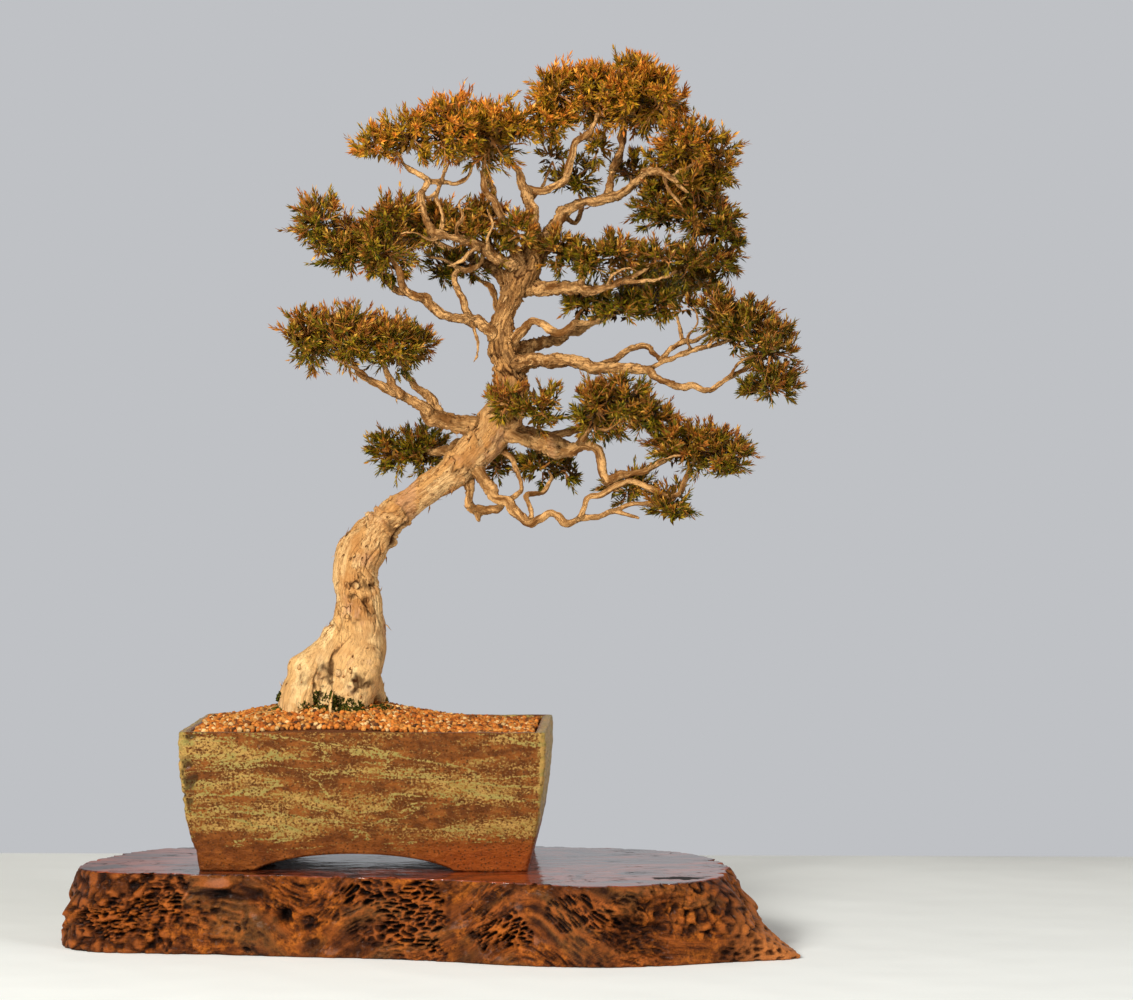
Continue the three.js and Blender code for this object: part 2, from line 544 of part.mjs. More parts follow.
// Foliage: each spray has lobes of dense leaf, given as middle and half width, depth and height.
const sprays = {
  crown_top: [
    [176, -3, 801, 19, 25, 24], [210, 10, 799, 27, 37, 27], [246, 15, 804, 32, 43, 30],
    [275, 5, 793, 21, 32, 25],
  ],
  upper_left: [
    [9, -38, 748, 22, 21, 12], [41, -35, 756, 24, 30, 18], [77, -24, 763, 30, 37, 27],
    [111, -13, 758, 24, 34, 31], [141, -4, 768, 18, 25, 16],
  ],
  middle_left: [
    [-46, -7, 674, 21, 30, 21], [-22, -3, 655, 27, 34, 21], [13, -14, 653, 27, 32, 27],
    [25, -21, 675, 20, 23, 15],
  ],
  centre_left: [[76, -2, 681, 24, 21, 13], [108, 5, 684, 22, 23, 15]],
  centre_front: [[140, -26, 668, 18, 16, 16]],
  under_left: [[69, 46, 638, 15, 19, 15], [90, 52, 644, 15, 18, 14]],
  low_left: [
    [-57, -12, 567, 22, 32, 24], [-19, -15, 570, 30, 41, 25], [20, -5, 563, 27, 37, 24],
    [43, 9, 559, 15, 25, 18],
  ],
  low_back_left: [[13, 116, 459, 20, 25, 16], [43, 109, 461, 24, 30, 19]],
  small_back_left: [[170, 41, 743, 12, 15, 15]],
  small_back_centre: [[194, 67, 721, 18, 19, 18]],
  small_under_top: [[218, 20, 752, 15, 13, 10]],
  small_back_right: [[247, 57, 731, 19, 18, 12]],
  right_high: [[303, 2, 750, 28, 34, 23], [327, 7, 739, 16, 30, 24], [281, 14, 736, 15, 23, 16]],
  right_middle: [[280, 28, 691, 27, 30, 19], [311, 16, 690, 27, 32, 25], [332, 9, 670, 16, 25, 20]],
  band_left: [[181, -6, 650, 18, 19, 17], [209, -8, 643, 21, 23, 15], [235, -13, 648, 15, 22, 15]],
  band_right: [[274, -22, 641, 18, 21, 16], [301, -18, 638, 21, 22, 13], [328, -12, 641, 14, 16, 12]],
  band_low: [[205, 30, 603, 22, 21, 12], [237, 26, 598, 27, 25, 15], [272, 19, 604, 22, 23, 13]],
  far_right: [
    [333, -31, 587, 16, 25, 24], [358, -42, 576, 22, 32, 22], [378, -52, 555, 20, 32, 27],
    [377, -58, 523, 23, 25, 15],
  ],
  trunk_front: [[133, -42, 507, 19, 16, 13], [163, -46, 499, 20, 19, 15]],
  low_right_upper: [
    [218, -58, 500, 16, 23, 20], [241, -60, 507, 20, 25, 19], [266, -55, 494, 19, 21, 13],
  ],
  low_right: [[291, -58, 465, 22, 28, 18], [317, -61, 464, 24, 32, 21], [337, -59, 456, 18, 28, 19]],
  lowest_right: [[247, -25, 425, 21, 16, 12]],
  lowest_right_tip: [[288, -50, 409, 16, 20, 15]],
  under_right: [[160, 28, 446, 21, 19, 12], [185, 25, 444, 15, 15, 11]],
  under_junction: [[119, 49, 448, 15, 15, 12]],
  back_top: [[228, 94, 802, 31, 34, 24], [265, 89, 793, 24, 32, 23]],
  back_left: [[15, 126, 674, 30, 32, 22], [49, 113, 679, 25, 28, 18]],
  back_right: [[255, 129, 621, 32, 34, 20], [294, 114, 625, 25, 30, 18]],
  back_high_left: [[96, 75, 767, 29, 30, 23]],
  back_high_right: [[306, 84, 717, 29, 32, 27]],
  back_low: [[216, 112, 496, 25, 28, 18], [247, 103, 500, 21, 25, 18]],
};
const shadedSprays = [
  "under_left", "low_back_left", "small_back_left", "small_back_centre", "small_under_top",
  "small_back_right", "band_low", "under_right", "under_junction", "lowest_right", "back_right",
  "back_low",
];

const HEART_SHARE = 0.6;
const TWIG_RADIUS = 4;
const SHOOT_LEAN = 0.45;
const LEAF_SPREAD = 0.1;
const SHOOT_REACH = 1.22;
const SHOOT_AREA = 20000;
const SHOOT_APART = 15;
const SPRAYS_APART = 20;
const LEAF_ROOM = 4;
const LEAF_CROWDED = 7;

function insideLobe(point, [x, y, z, halfWidth, halfDepth, halfHeight], margin) {
  const across = (point.x - x) / (halfWidth + margin);
  const back = (point.y - y) / (halfDepth + margin);
  const up = (point.z - z) / (halfHeight + margin);
  return across ** 2 + back ** 2 + up ** 2 < 1;
}

function clearOfLobes(point, lobes, margin) {
  return lobes.every((lobe) => !insideLobe(point, lobe, margin));
}

function clearOfLimbs(point, margin) {
  return Object.values(limbs).every((places) =>
    places.every(([x, y, z, radius], index) => {
      const next = places[Math.min(index + 1, places.length - 1)];
      const start = new THREE.Vector3(x, y, z);
      const end = new THREE.Vector3(next[0], next[1], next[2]);
      const nearest = new THREE.Line3(start, end).closestPointToPoint(point, true, new THREE.Vector3());
      return nearest.distanceTo(point) > radius + margin;
    }),
  );
}

// Gives a geometry with a pointed leaf raised on each face that the rule names a tip for.
function withLeaves(geometry, tipOf) {
  const faces = geometry.index ? geometry.toNonIndexed() : geometry;
  const position = faces.attributes.position;
  const kept = [];
  for (let index = 0; index < position.count; index += 3) {
    const [first, second, third] = [0, 1, 2].map((step) =>
      new THREE.Vector3().fromBufferAttribute(position, index + step),
    );
    const middle = first.clone().add(second).add(third).divideScalar(3);
    const tip = tipOf(middle);
    if (tip) kept.push(first, second, tip, second, third, tip, third, first, tip);
    else kept.push(first, second, third);
  }
  return new THREE.BufferGeometry().setFromPoints(kept);
}

// The heart of a lobe: a small rough ball with each of its faces drawn out to a pointed leaf
// that ends near the lobe's own surface and turns up a little towards the light.
function heartSolid(lobe, neighbours, draw) {
  const [x, y, z, halfWidth, halfDepth, halfHeight] = lobe;
  const size = new THREE.Vector3(halfWidth, halfDepth, halfHeight);
  const centre = new THREE.Vector3(x, y, z);
  const pose = new THREE.Euler(0.05 * x, 0.04 * z, 0.03 * y);
  const ball = reshape(new THREE.OctahedronGeometry(1, 1), (point) => {
    const wave = Math.sin(7 * point.x + 0.3 * x) * Math.cos(8 * point.z + 6 * point.y + 0.2 * z);
    return point.applyEuler(pose).multiplyScalar(HEART_SHARE * (1 + 0.1 * wave));
  });
  const leafy = withLeaves(ball, (middle) => {
    const tip = middle.clone().normalize().multiplyScalar(0.92 + 0.32 * draw());
    tip.x += LEAF_SPREAD * (draw() - 0.5);
    tip.y += LEAF_SPREAD * (draw() - 0.5);
    tip.z += LEAF_SPREAD;
    const placed = tip.clone().multiply(size).add(centre);
    return clearOfLobes(placed, neighbours, LEAF_CROWDED) ? tip : null;
  });
  return solidOf(reshape(leafy, (point) => point.multiply(size).add(centre)));
}

// The twigs inside a spray, which carry one lobe from the next.
function twigSolids(lobes) {
  return lobes.slice(1).map((lobe, index) => {
    const start = new THREE.Vector3(...lobes[index].slice(0, 3));
    const end = new THREE.Vector3(...lobe.slice(0, 3));
    const twig = new THREE.CylinderGeometry(TWIG_RADIUS, TWIG_RADIUS, start.distanceTo(end), 3);
    const along = end.clone().sub(start).normalize();
    twig.applyQuaternion(new THREE.Quaternion().setFromUnitVectors(new THREE.Vector3(0, 1, 0), along));
    const middle = start.add(end).multiplyScalar(0.5);
    return solidOf(twig.translate(middle.x, middle.y, middle.z));
  });
}

// A leafy shoot: a slim three-sided stem with a pointed leaf on each face, swept towards its tip.
function shootSolid(root, direction, length) {
  const stem = new THREE.CylinderGeometry(0.6 * SHOOT_RADIUS, SHOOT_RADIUS, length, 3, SHOOT_TIERS);
  const topHeight = length / 2;
  reshape(stem, (point) => {
    const crown = point.y > topHeight - 0.01 && Math.hypot(point.x, point.z) < 0.01;
    if (crown) point.y += 0.7 * LEAF_LENGTH;
    return point;
  });
  const leafy = withLeaves(stem, (middle) => {
    const bare = middle.y < SHOOT_SUNK + 1 - topHeight || middle.y > topHeight - 0.5;
    if (bare) return null;
    const outward = new THREE.Vector3(middle.x, 0, middle.z).normalize();
    const tip = middle.clone().addScaledVector(outward, 0.72 * LEAF_LENGTH);
    tip.y += 0.62 * LEAF_LENGTH;
    return tip;
  });
  const turn = new THREE.Quaternion().setFromUnitVectors(new THREE.Vector3(0, 1, 0), direction);
  leafy.translate(0, topHeight - SHOOT_SUNK, 0).applyQuaternion(turn);
  return solidOf(leafy.translate(root.x, root.y, root.z));
}

// Whether a mark on a shoot of the named spray is far enough from one on a shoot already placed.
function farFrom(mate, mark, name) {
  const apart = mate.name === name ? SHOOT_APART : SPRAYS_APART;
  return mate.mark.distanceTo(mark) > apart;
}

// Shoots stand on the lobes at even steps of a golden spiral and lean towards the light.
function shootPlaces(name, draw, taken) {
  const own = sprays[name];
  const otherNames = Object.keys(sprays).filter((other) => other !== name);
  const others = otherNames.flatMap((other) => sprays[other]);
  const places = [];
  own.forEach((lobe) => {
    const [x, y, z, halfWidth, halfDepth, halfHeight] = lobe;
    const mean = (halfWidth * halfDepth + halfDepth * halfHeight + halfHeight * halfWidth) / 3;
    const count = Math.round((4 * Math.PI * mean) / SHOOT_AREA);
    const start = draw();
    for (let step = 0; step < count; step += 1) {
      const height = 1 - (2 * (step + 0.5)) / count;
      const turn = 2 * Math.PI * (start + 0.618034 * step);
      const flat = Math.sqrt(1 - height * height);
      const outward = new THREE.Vector3(flat * Math.cos(turn), flat * Math.sin(turn), height);
      const reach = outward.clone().multiply(new THREE.Vector3(halfWidth, halfDepth, halfHeight));
      const root = new THREE.Vector3(x, y, z).addScaledVector(reach, HEART_SHARE);
      const lean = new THREE.Vector3(0, 0, SHOOT_LEAN + 0.15 * draw());
      const direction = outward.clone().add(lean).normalize();
      const beyond = reach.length() * (SHOOT_REACH - HEART_SHARE);
      const length = SHOOT_SUNK + Math.max(SHOOT_LENGTH, beyond) * (0.85 + 0.3 * draw());
      const marks = [0.45, 1].map((part) =>
        root.clone().addScaledVector(direction, part * (length - SHOOT_SUNK) + (part === 1 ? 5 : 0)),
      );
      const seen = clearOfLobes(marks[1], own.filter((other) => other !== lobe), -2);
      const free = marks.every(
        (mark) =>
          clearOfLobes(mark, others, LEAF_ROOM) &&
          clearOfLimbs(mark, 0.75 * LEAF_ROOM) &&
          taken.every((mate) => farFrom(mate, mark, name)),
      );
      if (!seen || !free) continue;
      marks.forEach((mark) => taken.push({ name, mark }));
      places.push({ root, direction, length });
    }
  });
  return places;
}

function foliage(grownWood) {
  const taken = [];
  return Object.entries(sprays).map(([name, lobes], index) => {
    const draw = seededDraw(101 + 17 * index);
    const hearts = lobes.map((lobe) => {
      const neighbours = lobes.filter((other) => other !== lobe);
      return heartSolid(lobe, neighbours, draw);
    });
    const shoots = shootPlaces(name, draw, taken);
    const leafy = shoots.map(({ root, direction, length }) => shootSolid(root, direction, length));
    const whole = largestBody(joined([...hearts, ...twigSolids(lobes), ...leafy]).subtract(grownWood));
    const material = shadedSprays.includes(name) ? shadedLeaf : sunlitLeaf;
    return meshOf("foliage_" + name, whole, material);
  });
}

// The assembly
const stand = new THREE.Group();
stand.add(meshOf("display_slab", displaySlab(), lacquer));

const planter = new THREE.Group();
const grownWood = treeWood(CLEARANCE);
planter.add(meshOf("pot", pot(), glaze));
drainPlaces().forEach((place, index) => {
  const screen = meshOf(["drain_screen_left", "drain_screen_right"][index], drainScreen(), plastic);
  screen.position.set(place.x, place.y, POT_BASE + POT_FLOOR + CLEARANCE + SCREEN_THICKNESS / 2);
  planter.add(screen);
});
planter.add(meshOf("soil", largestBody(soil().subtract(grownWood)), loam));
planter.add(meshOf("gravel_top", largestBody(gravel().subtract(grownWood)), grit));

const tree = new THREE.Group();
tree.add(meshOf("tree_wood", treeWood(0), bark));
foliage(grownWood).forEach((spray) => tree.add(spray));

const bonsai = new THREE.Group();
bonsai.add(stand, planter, tree);

export default bonsai;
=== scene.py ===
# A prickly paperbark bonsai in its stoneware pot, on a lacquered slab of burl wood.
# Metres, +Z up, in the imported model's frame: the origin is on the slab's underside, below the pot.
import itertools
import math

import bpy
import numpy as np
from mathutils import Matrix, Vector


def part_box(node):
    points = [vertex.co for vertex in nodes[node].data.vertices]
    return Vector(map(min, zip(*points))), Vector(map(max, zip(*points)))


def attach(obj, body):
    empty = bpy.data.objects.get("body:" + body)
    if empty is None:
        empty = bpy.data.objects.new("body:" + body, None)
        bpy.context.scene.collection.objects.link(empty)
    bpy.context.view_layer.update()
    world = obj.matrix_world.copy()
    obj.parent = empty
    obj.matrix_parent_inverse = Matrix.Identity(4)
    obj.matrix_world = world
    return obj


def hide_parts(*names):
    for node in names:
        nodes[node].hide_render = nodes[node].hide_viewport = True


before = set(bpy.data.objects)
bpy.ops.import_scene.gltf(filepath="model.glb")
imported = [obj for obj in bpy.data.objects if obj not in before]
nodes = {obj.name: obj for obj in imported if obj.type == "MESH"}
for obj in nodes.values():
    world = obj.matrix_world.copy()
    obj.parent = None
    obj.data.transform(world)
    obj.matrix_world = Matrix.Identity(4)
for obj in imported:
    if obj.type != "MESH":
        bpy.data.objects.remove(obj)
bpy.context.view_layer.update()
MM = 0.001

# Camera
# It stands 3.44 m in front of the tree and a little to its right, half a metre above the slab's
# underside, and looks down by about a degree through a long lens.
photo_width = 1133
photo_height = 1000
lens_pixels = 3620
horizon_row = 425
camera_turn = 0.027
camera_data = bpy.data.cameras.new("camera")
camera_data.sensor_width = 36
camera_data.lens = camera_data.sensor_width * lens_pixels / photo_width
camera_data.clip_start = 0.1
camera_data.clip_end = 50
camera = bpy.data.objects.new("camera", camera_data)
camera.location = (0.279, -3.435, 0.487)
camera_tilt = math.atan((photo_height / 2 - horizon_row) / lens_pixels)
camera.rotation_euler = (math.pi / 2 - camera_tilt, 0, camera_turn)
bpy.context.scene.collection.objects.link(camera)
bpy.context.scene.camera = camera
bpy.context.scene.view_settings.view_transform = "Standard"


# Floor and light
# A plain pale floor that ends behind the slab, an even grey background, a broad key light from the
# upper left in front, and a weaker one from the right.
def fill_sockets(tree, node, inputs):
    """Gives a node its inputs: an output is linked, and a plain value is set on the socket itself."""
    for key, value in inputs.items():
        if isinstance(value, bpy.types.NodeSocket):
            tree.links.new(value, node.inputs[key])
        else:
            node.inputs[key].default_value = value


def shader_node(tree, kind, inputs, **settings):
    """Adds a shader node with its settings and then its inputs."""
    node = tree.nodes.new(kind)
    for name, value in settings.items():
        setattr(node, name, value)
    fill_sockets(tree, node, inputs)
    return node


def colour(red, green, blue):
    """A colour as the eye names it, 0 to 255, turned into the linear light that shaders use."""
    share = np.array([red, green, blue]) / 255
    linear = np.where(share < 0.04045, share / 12.92, ((share + 0.055) / 1.055) ** 2.4)
    return (*linear.tolist(), 1.0)


def noise(tree, place, scale, detail=4.0, roughness=0.55, distortion=0.0):
    """Layered noise, about 0.5 on average, from a place given as a socket."""
    inputs = {
        "Vector": place, "Scale": scale, "Detail": detail, "Roughness": roughness,
        "Distortion": distortion,
    }
    return shader_node(tree, "ShaderNodeTexNoise", inputs).outputs["Fac"]


def spread(tree, value, low, high, to_low=0.0, to_high=1.0):
    """A value's range from low to high, eased and moved to another range and cut off outside it."""
    inputs = {
        "Value": value, "From Min": low, "From Max": high, "To Min": to_low, "To Max": to_high,
    }
    made = shader_node(tree, "ShaderNodeMapRange", inputs, interpolation_type="SMOOTHSTEP")
    return made.outputs["Result"]


def calculated(tree, operation, first, second):
    """Two values added, multiplied or compared."""
    made = shader_node(tree, "ShaderNodeMath", {0: first, 1: second}, operation=operation)
    return made.outputs["Value"]


def blended(tree, share, first, second, blend="MIX"):
    """Two colours, mixed by a share that runs from the first to the second."""
    inputs = {0: share, 6: first, 7: second}
    return shader_node(tree, "ShaderNodeMix", inputs, data_type="RGBA", blend_type=blend).outputs[2]


def bumped(tree, height, distance, strength=1.0):
    """A normal tilted by a height between 0 and 1, whose full rise is the distance."""
    inputs = {"Height": height, "Distance": distance, "Strength": strength}
    return shader_node(tree, "ShaderNodeBump", inputs).outputs["Normal"]


def finish_named(name):
    """A material with one Principled shader: gives the material, its tree and that shader."""
    material = bpy.data.materials.new(name)
    material.use_nodes = True
    tree = material.node_tree
    return material, tree, tree.nodes["Principled BSDF"]


def object_place(tree):
    """The place on the object, in metres from its origin."""
    return shader_node(tree, "ShaderNodeTexCoord", {}).outputs["Object"]


def mesh_piece(name, points, *faces):
    """A smooth mesh object from its points and from tables of faces with equally many corners."""
    corners = np.concatenate([table.ravel() for table in faces]).astype(np.int32)
    counts = np.concatenate([np.full(len(table), table.shape[1]) for table in faces])
    starts = np.concatenate([[0], np.cumsum(counts)[:-1]]).astype(np.int32)
    mesh = bpy.data.meshes.new(name)
    mesh.vertices.add(len(points))
    mesh.vertices.foreach_set("co", np.asarray(points, np.float32).ravel())
    mesh.loops.add(len(corners))
    mesh.loops.foreach_set("vertex_index", corners)
    mesh.polygons.add(len(counts))
    mesh.polygons.foreach_set("loop_start", starts)
    mesh.update(calc_edges=True)
    mesh.polygons.foreach_set("use_smooth", np.ones(len(counts), bool))
    piece = bpy.data.objects.new(name, mesh)
    bpy.context.scene.collection.objects.link(piece)
    return piece


floor_half_width = 3.0
floor_front = -4.0
floor_back = 0.66
floor_z = -0.4 * MM
floor_corners = [
    (-floor_half_width, floor_front), (floor_half_width, floor_front),
    (floor_half_width, floor_back), (-floor_half_width, floor_back),
]
floor = mesh_piece("floor", [(x, y, floor_z) for x, y in floor_corners], np.array([[0, 1, 2, 3]]))
pale_floor, tree, surface = finish_named("pale_floor")
ripples = noise(tree, object_place(tree), 5.0, detail=2.0)
fill_sockets(tree, surface, {
    "Base Color": colour(246, 252, 255), "Roughness": 0.9, "Normal": bumped(tree, ripples, 0.02, 0.25),
})
floor.data.materials.append(pale_floor)

world = bpy.data.worlds.new("studio")
world.use_nodes = True
sky = world.node_tree
ray = shader_node(sky, "ShaderNodeLightPath", {}).outputs
seen = calculated(sky, "MAXIMUM", ray["Is Camera Ray"], ray["Is Glossy Ray"])
fill_sockets(sky, sky.nodes["Background"], {
    "Color": blended(sky, seen, colour(198, 189, 176), colour(191, 193, 197)),
    "Strength": spread(sky, seen, 0.0, 1.0, 0.36, 1.0),
})
bpy.context.scene.world = world


def area_light(name, place, aim, size, power, tint):
    """A square light at a place, turned so that it shines at its aim."""
    data = bpy.data.lights.new(name, "AREA")
    data.size = size
    data.energy = power
    data.color = tint
    lamp = bpy.data.objects.new(name, data)
    lamp.location = place
    towards = Vector(aim) - Vector(place)
    lamp.rotation_euler = towards.to_track_quat("-Z", "Y").to_euler()
    bpy.context.scene.collection.objects.link(lamp)


area_light(
    "key_light", place=(-1.6, -2.9, 1.95), aim=(0.05, 0, 0.4), size=1.0, power=164,
    tint=(1.0, 0.955, 0.87),
)
area_light(
    "fill_light", place=(2.4, -1.7, 1.4), aim=(0.15, 0, 0.3), size=1.4, power=34,
    tint=(1.0, 0.97, 0.93),
)


# Display slab
# One slice of burl from the foot of a tree, sawn flat above and below and lacquered. Its edge is the
# wood's own: ropes of grain, lumps, and nets of strands over holes, whose darkness is painted shade. It
# lies on its flat underside.
slab_columns = 1040
slab_side_rows = 60
slab_packed_rows = 6
slab_top_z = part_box("display_slab")[1].z
slab_rim_drop = 0.8 * MM
calm_rounds = 200


def scattered(places, seed):
    """A number between 0 and 1 for each whole-number place: its counts and the seed, multiplied by
    large odd numbers and mixed."""
    whole = places.astype(np.int64).astype(np.uint32)
    mixed = whole[..., 0] * np.uint32(0x8DA6B343) ^ whole[..., 1] * np.uint32(0xD8163841)
    mixed ^= whole[..., 2] * np.uint32(0xCB1AB31F) ^ np.uint32(seed * 7919 + 13)
    mixed ^= mixed >> np.uint32(15)
    mixed *= np.uint32(0x2C1B3C6D)
    mixed ^= mixed >> np.uint32(12)
    mixed *= np.uint32(0x297A2D39)
    mixed ^= mixed >> np.uint32(15)
    return mixed / 4294967295.0


def soft_noise(points, seed=0):
    """Value noise: the scattered numbers at the eight whole places round a point, each weighed by
    how near it is along every axis, eased at both ends."""
    low = np.floor(points)
    part = points - low
    nearness = part * part * (3 - 2 * part)
    total = np.zeros(points.shape[:-1])
    for corner in itertools.product((0, 1), repeat=3):
        weight = np.prod(np.where(corner, nearness, 1 - nearness), axis=-1)
        total += weight * scattered(low + corner, seed)
    return total


def layered_noise(points, layers=3, seed=0):
    """Value noise and its finer layers, each at twice the scale and half the weight."""
    weights = [0.5**layer for layer in range(layers)]
    total = sum(
        weight * soft_noise(points * 2**layer, seed + layer) for layer, weight in enumerate(weights)
    )
    return total / sum(weights)


def sways(points, seeds):
    """Layered noise about 0 for each of three axes."""
    return np.stack([layered_noise(points, 2, seed) - 0.5 for seed in seeds], axis=-1)


def ridges(points, layers=2, seed=0):
    """Sharp crests where layered noise passes its middle: one less twice its distance from it."""
    return 1 - np.abs(2 * layered_noise(points, layers, seed) - 1)


def cell_walls(points, seed=0):
    """For one scattered seed in each unit cell: how much further the second nearest lies than the
    nearest, which is 0 on the walls between cells, and a number that belongs to the nearest."""
    low = np.floor(points)
    nearest = np.full(points.shape[:-1], 9.0)
    second = np.full(points.shape[:-1], 9.0)
    owner = np.zeros(points.shape[:-1])
    for offset in itertools.product((-1, 0, 1), repeat=3):
        cell = low + offset
        seed_place = cell + np.stack([scattered(cell, seed + axis) for axis in range(3)], axis=-1)
        gap = np.linalg.norm(points - seed_place, axis=-1)
        owner = np.where(gap < nearest, scattered(cell, seed + 3), owner)
        second = np.minimum(second, np.maximum(nearest, gap))
        nearest = np.minimum(nearest, gap)
    return second - nearest, owner


def eased(value, low, high):
    """0 below low, 1 above high and a smooth step between them."""
    share = np.clip((value - low) / (high - low), 0, 1)
    return share * share * (3 - 2 * share)


def node_points(node):
    """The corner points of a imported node, one row each."""
    mesh = nodes[node].data
    points = np.zeros(3 * len(mesh.vertices), np.float32)
    mesh.vertices.foreach_get("co", points)
    return points.reshape(-1, 3).astype(float)


def ring_faces(rings, columns):
    """Faces of a closed surface: a first pole, rings of points and a last pole. Quads join each
    ring to the next, and fans close both ends."""
    ring = np.arange(rings - 1)[:, None] * columns + 1
    column = np.arange(columns)[None, :]
    beside = (column + 1) % columns
    above = ring + columns
    quads = np.stack([ring + column, ring + beside, above + beside, above + column], -1)
    last = rings * columns + 1
    here, there = column.ravel(), beside.ravel()
    top = last - columns
    first_fan = np.stack([np.zeros(columns, int), there + 1, here + 1], -1)
    last_fan = np.stack([top + here, top + there, np.full(columns, last)], -1)
    return quads.reshape(-1, 4), np.concatenate([first_fan, last_fan])


def closed_rings(low, rings, high, x=0):
    """A closed surface's points round the upright axis at x: a pole at its low height, its rings and
    a pole at its high height."""
    return np.concatenate([[[x, 0, low]], rings.reshape(-1, 3), [[x, 0, high]]])


def drawn_in(rings, shares):
    """A ring of points, or one for each share, drawn in level to that share of its way from the
    upright axis through the origin."""
    return rings * np.stack([shares, shares, np.ones(len(shares))], -1)[:, None]


def point_values(piece, name, values):
    """Stores one number, or one row of three, for each point of a piece."""
    kind, key = ("FLOAT", "value") if values.ndim == 1 else ("FLOAT_VECTOR", "vector")
    stored = piece.data.attributes.new(name, kind, "POINT")
    stored.data.foreach_set(key, values.astype(np.float32).ravel())


slab_cad = node_points("display_slab")


def slab_edge_radius(height, angles):
    """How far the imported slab's edge lies from its middle in each direction at one height."""
    level = slab_cad[np.abs(slab_cad[:, 2] - height) < 0.3 * MM]
    far = np.hypot(level[:, 0], level[:, 1])
    level, far = level[far > 0.05], far[far > 0.05]
    known, first = np.unique(np.arctan2(level[:, 1], level[:, 0]).round(5), return_index=True)
    return np.interp(angles, known, far[first], period=2 * np.pi)


def slab_columns_turn():
    """The columns' directions: they divide the slab's outline evenly, twice as closely in front."""
    even = np.linspace(-np.pi, np.pi, 4000)
    far = slab_edge_radius(slab_top_z * 2 / (slab_packed_rows - 1), even)
    x, y = far * np.cos(even), far * np.sin(even)
    steps = np.hypot(np.diff(x), np.diff(y)) * np.where(y[1:] < 0.02, 2.2, 1)
    reached = np.concatenate([[0], np.cumsum(steps)])
    return np.interp(np.linspace(0, reached[-1], slab_columns, endpoint=False), reached, even)


turn = slab_columns_turn()


def smooth_between(before, first, second, after, part):
    """The cubic from the first of two places to the second that leaves and meets them with the slope
    between their neighbours, at a part of the way."""
    leave, meet, gap = (second - before) / 2, (after - first) / 2, second - first
    bend = leave + meet - 2 * gap
    return first + part * (leave + part * (gap - leave + bend * (part - 1)))


def between_rows(rows, share):
    """A smooth curve through equally spaced rows, at each share of the way along them."""
    place = share * (len(rows) - 1)
    start = np.clip(np.floor(place).astype(int), 0, len(rows) - 2)
    before, after = rows[np.maximum(start - 1, 0)], rows[np.minimum(start + 2, len(rows) - 1)]
    return smooth_between(before, rows[start], rows[start + 1], after, (place - start)[:, None])


edge_rows = np.stack([
    slab_edge_radius(slab_top_z * row / (slab_packed_rows - 1), turn) for row in range(slab_packed_rows)
])
rise = np.linspace(0, 1, slab_side_rows)
edge_far = between_rows(edge_rows, rise)
side_z = np.repeat(rise[:, None], slab_columns, 1) * slab_top_z
side = np.stack([edge_far * np.cos(turn), edge_far * np.sin(turn), side_z], axis=-1)
along = np.roll(side, -3, axis=1) - np.roll(side, 3, axis=1)
outward = np.stack([along[..., 1], -along[..., 0], 0 * along[..., 0]], axis=-1)
outward /= np.linalg.norm(outward, axis=-1, keepdims=True)

# Nets of strands on the front: middle x and z, half width and half height.
burl_nets = [
    (0.052, 0.036, 0.034, 0.034), (0.132, 0.03, 0.03, 0.02), (0.208, 0.048, 0.036, 0.018),
    (-0.185, 0.05, 0.03, 0.016), (0.005, 0.06, 0.03, 0.012), (-0.235, 0.03, 0.03, 0.018),
]
# Single holes and hollows on the front: x, z, radius and depth.
burl_holes = [
    (-0.071, 0.037, 0.0065, 0.016), (-0.128, 0.053, 0.013, 0.007), (-0.112, 0.051, 0.009, 0.006),
    (-0.058, 0.052, 0.01, 0.005), (-0.046, 0.03, 0.009, 0.008), (-0.042, 0.012, 0.01, 0.006),
    (0.085, 0.06, 0.02, 0.003), (0.262, 0.036, 0.02, 0.01), (0.245, 0.031, 0.018, 0.007),
]


def flow_height(x):
    """How high the grain's lines of flow run at x: they dip left of the middle, climb to a crest
    right of it and sink to the toe."""
    crest = 0.05 * np.exp(-(((x - 0.155) / 0.05) ** 2))
    dip = 0.03 * np.exp(-(((x + 0.05) / 0.035) ** 2))
    return crest - dip - 0.02 * eased(x, 0.2, 0.33)


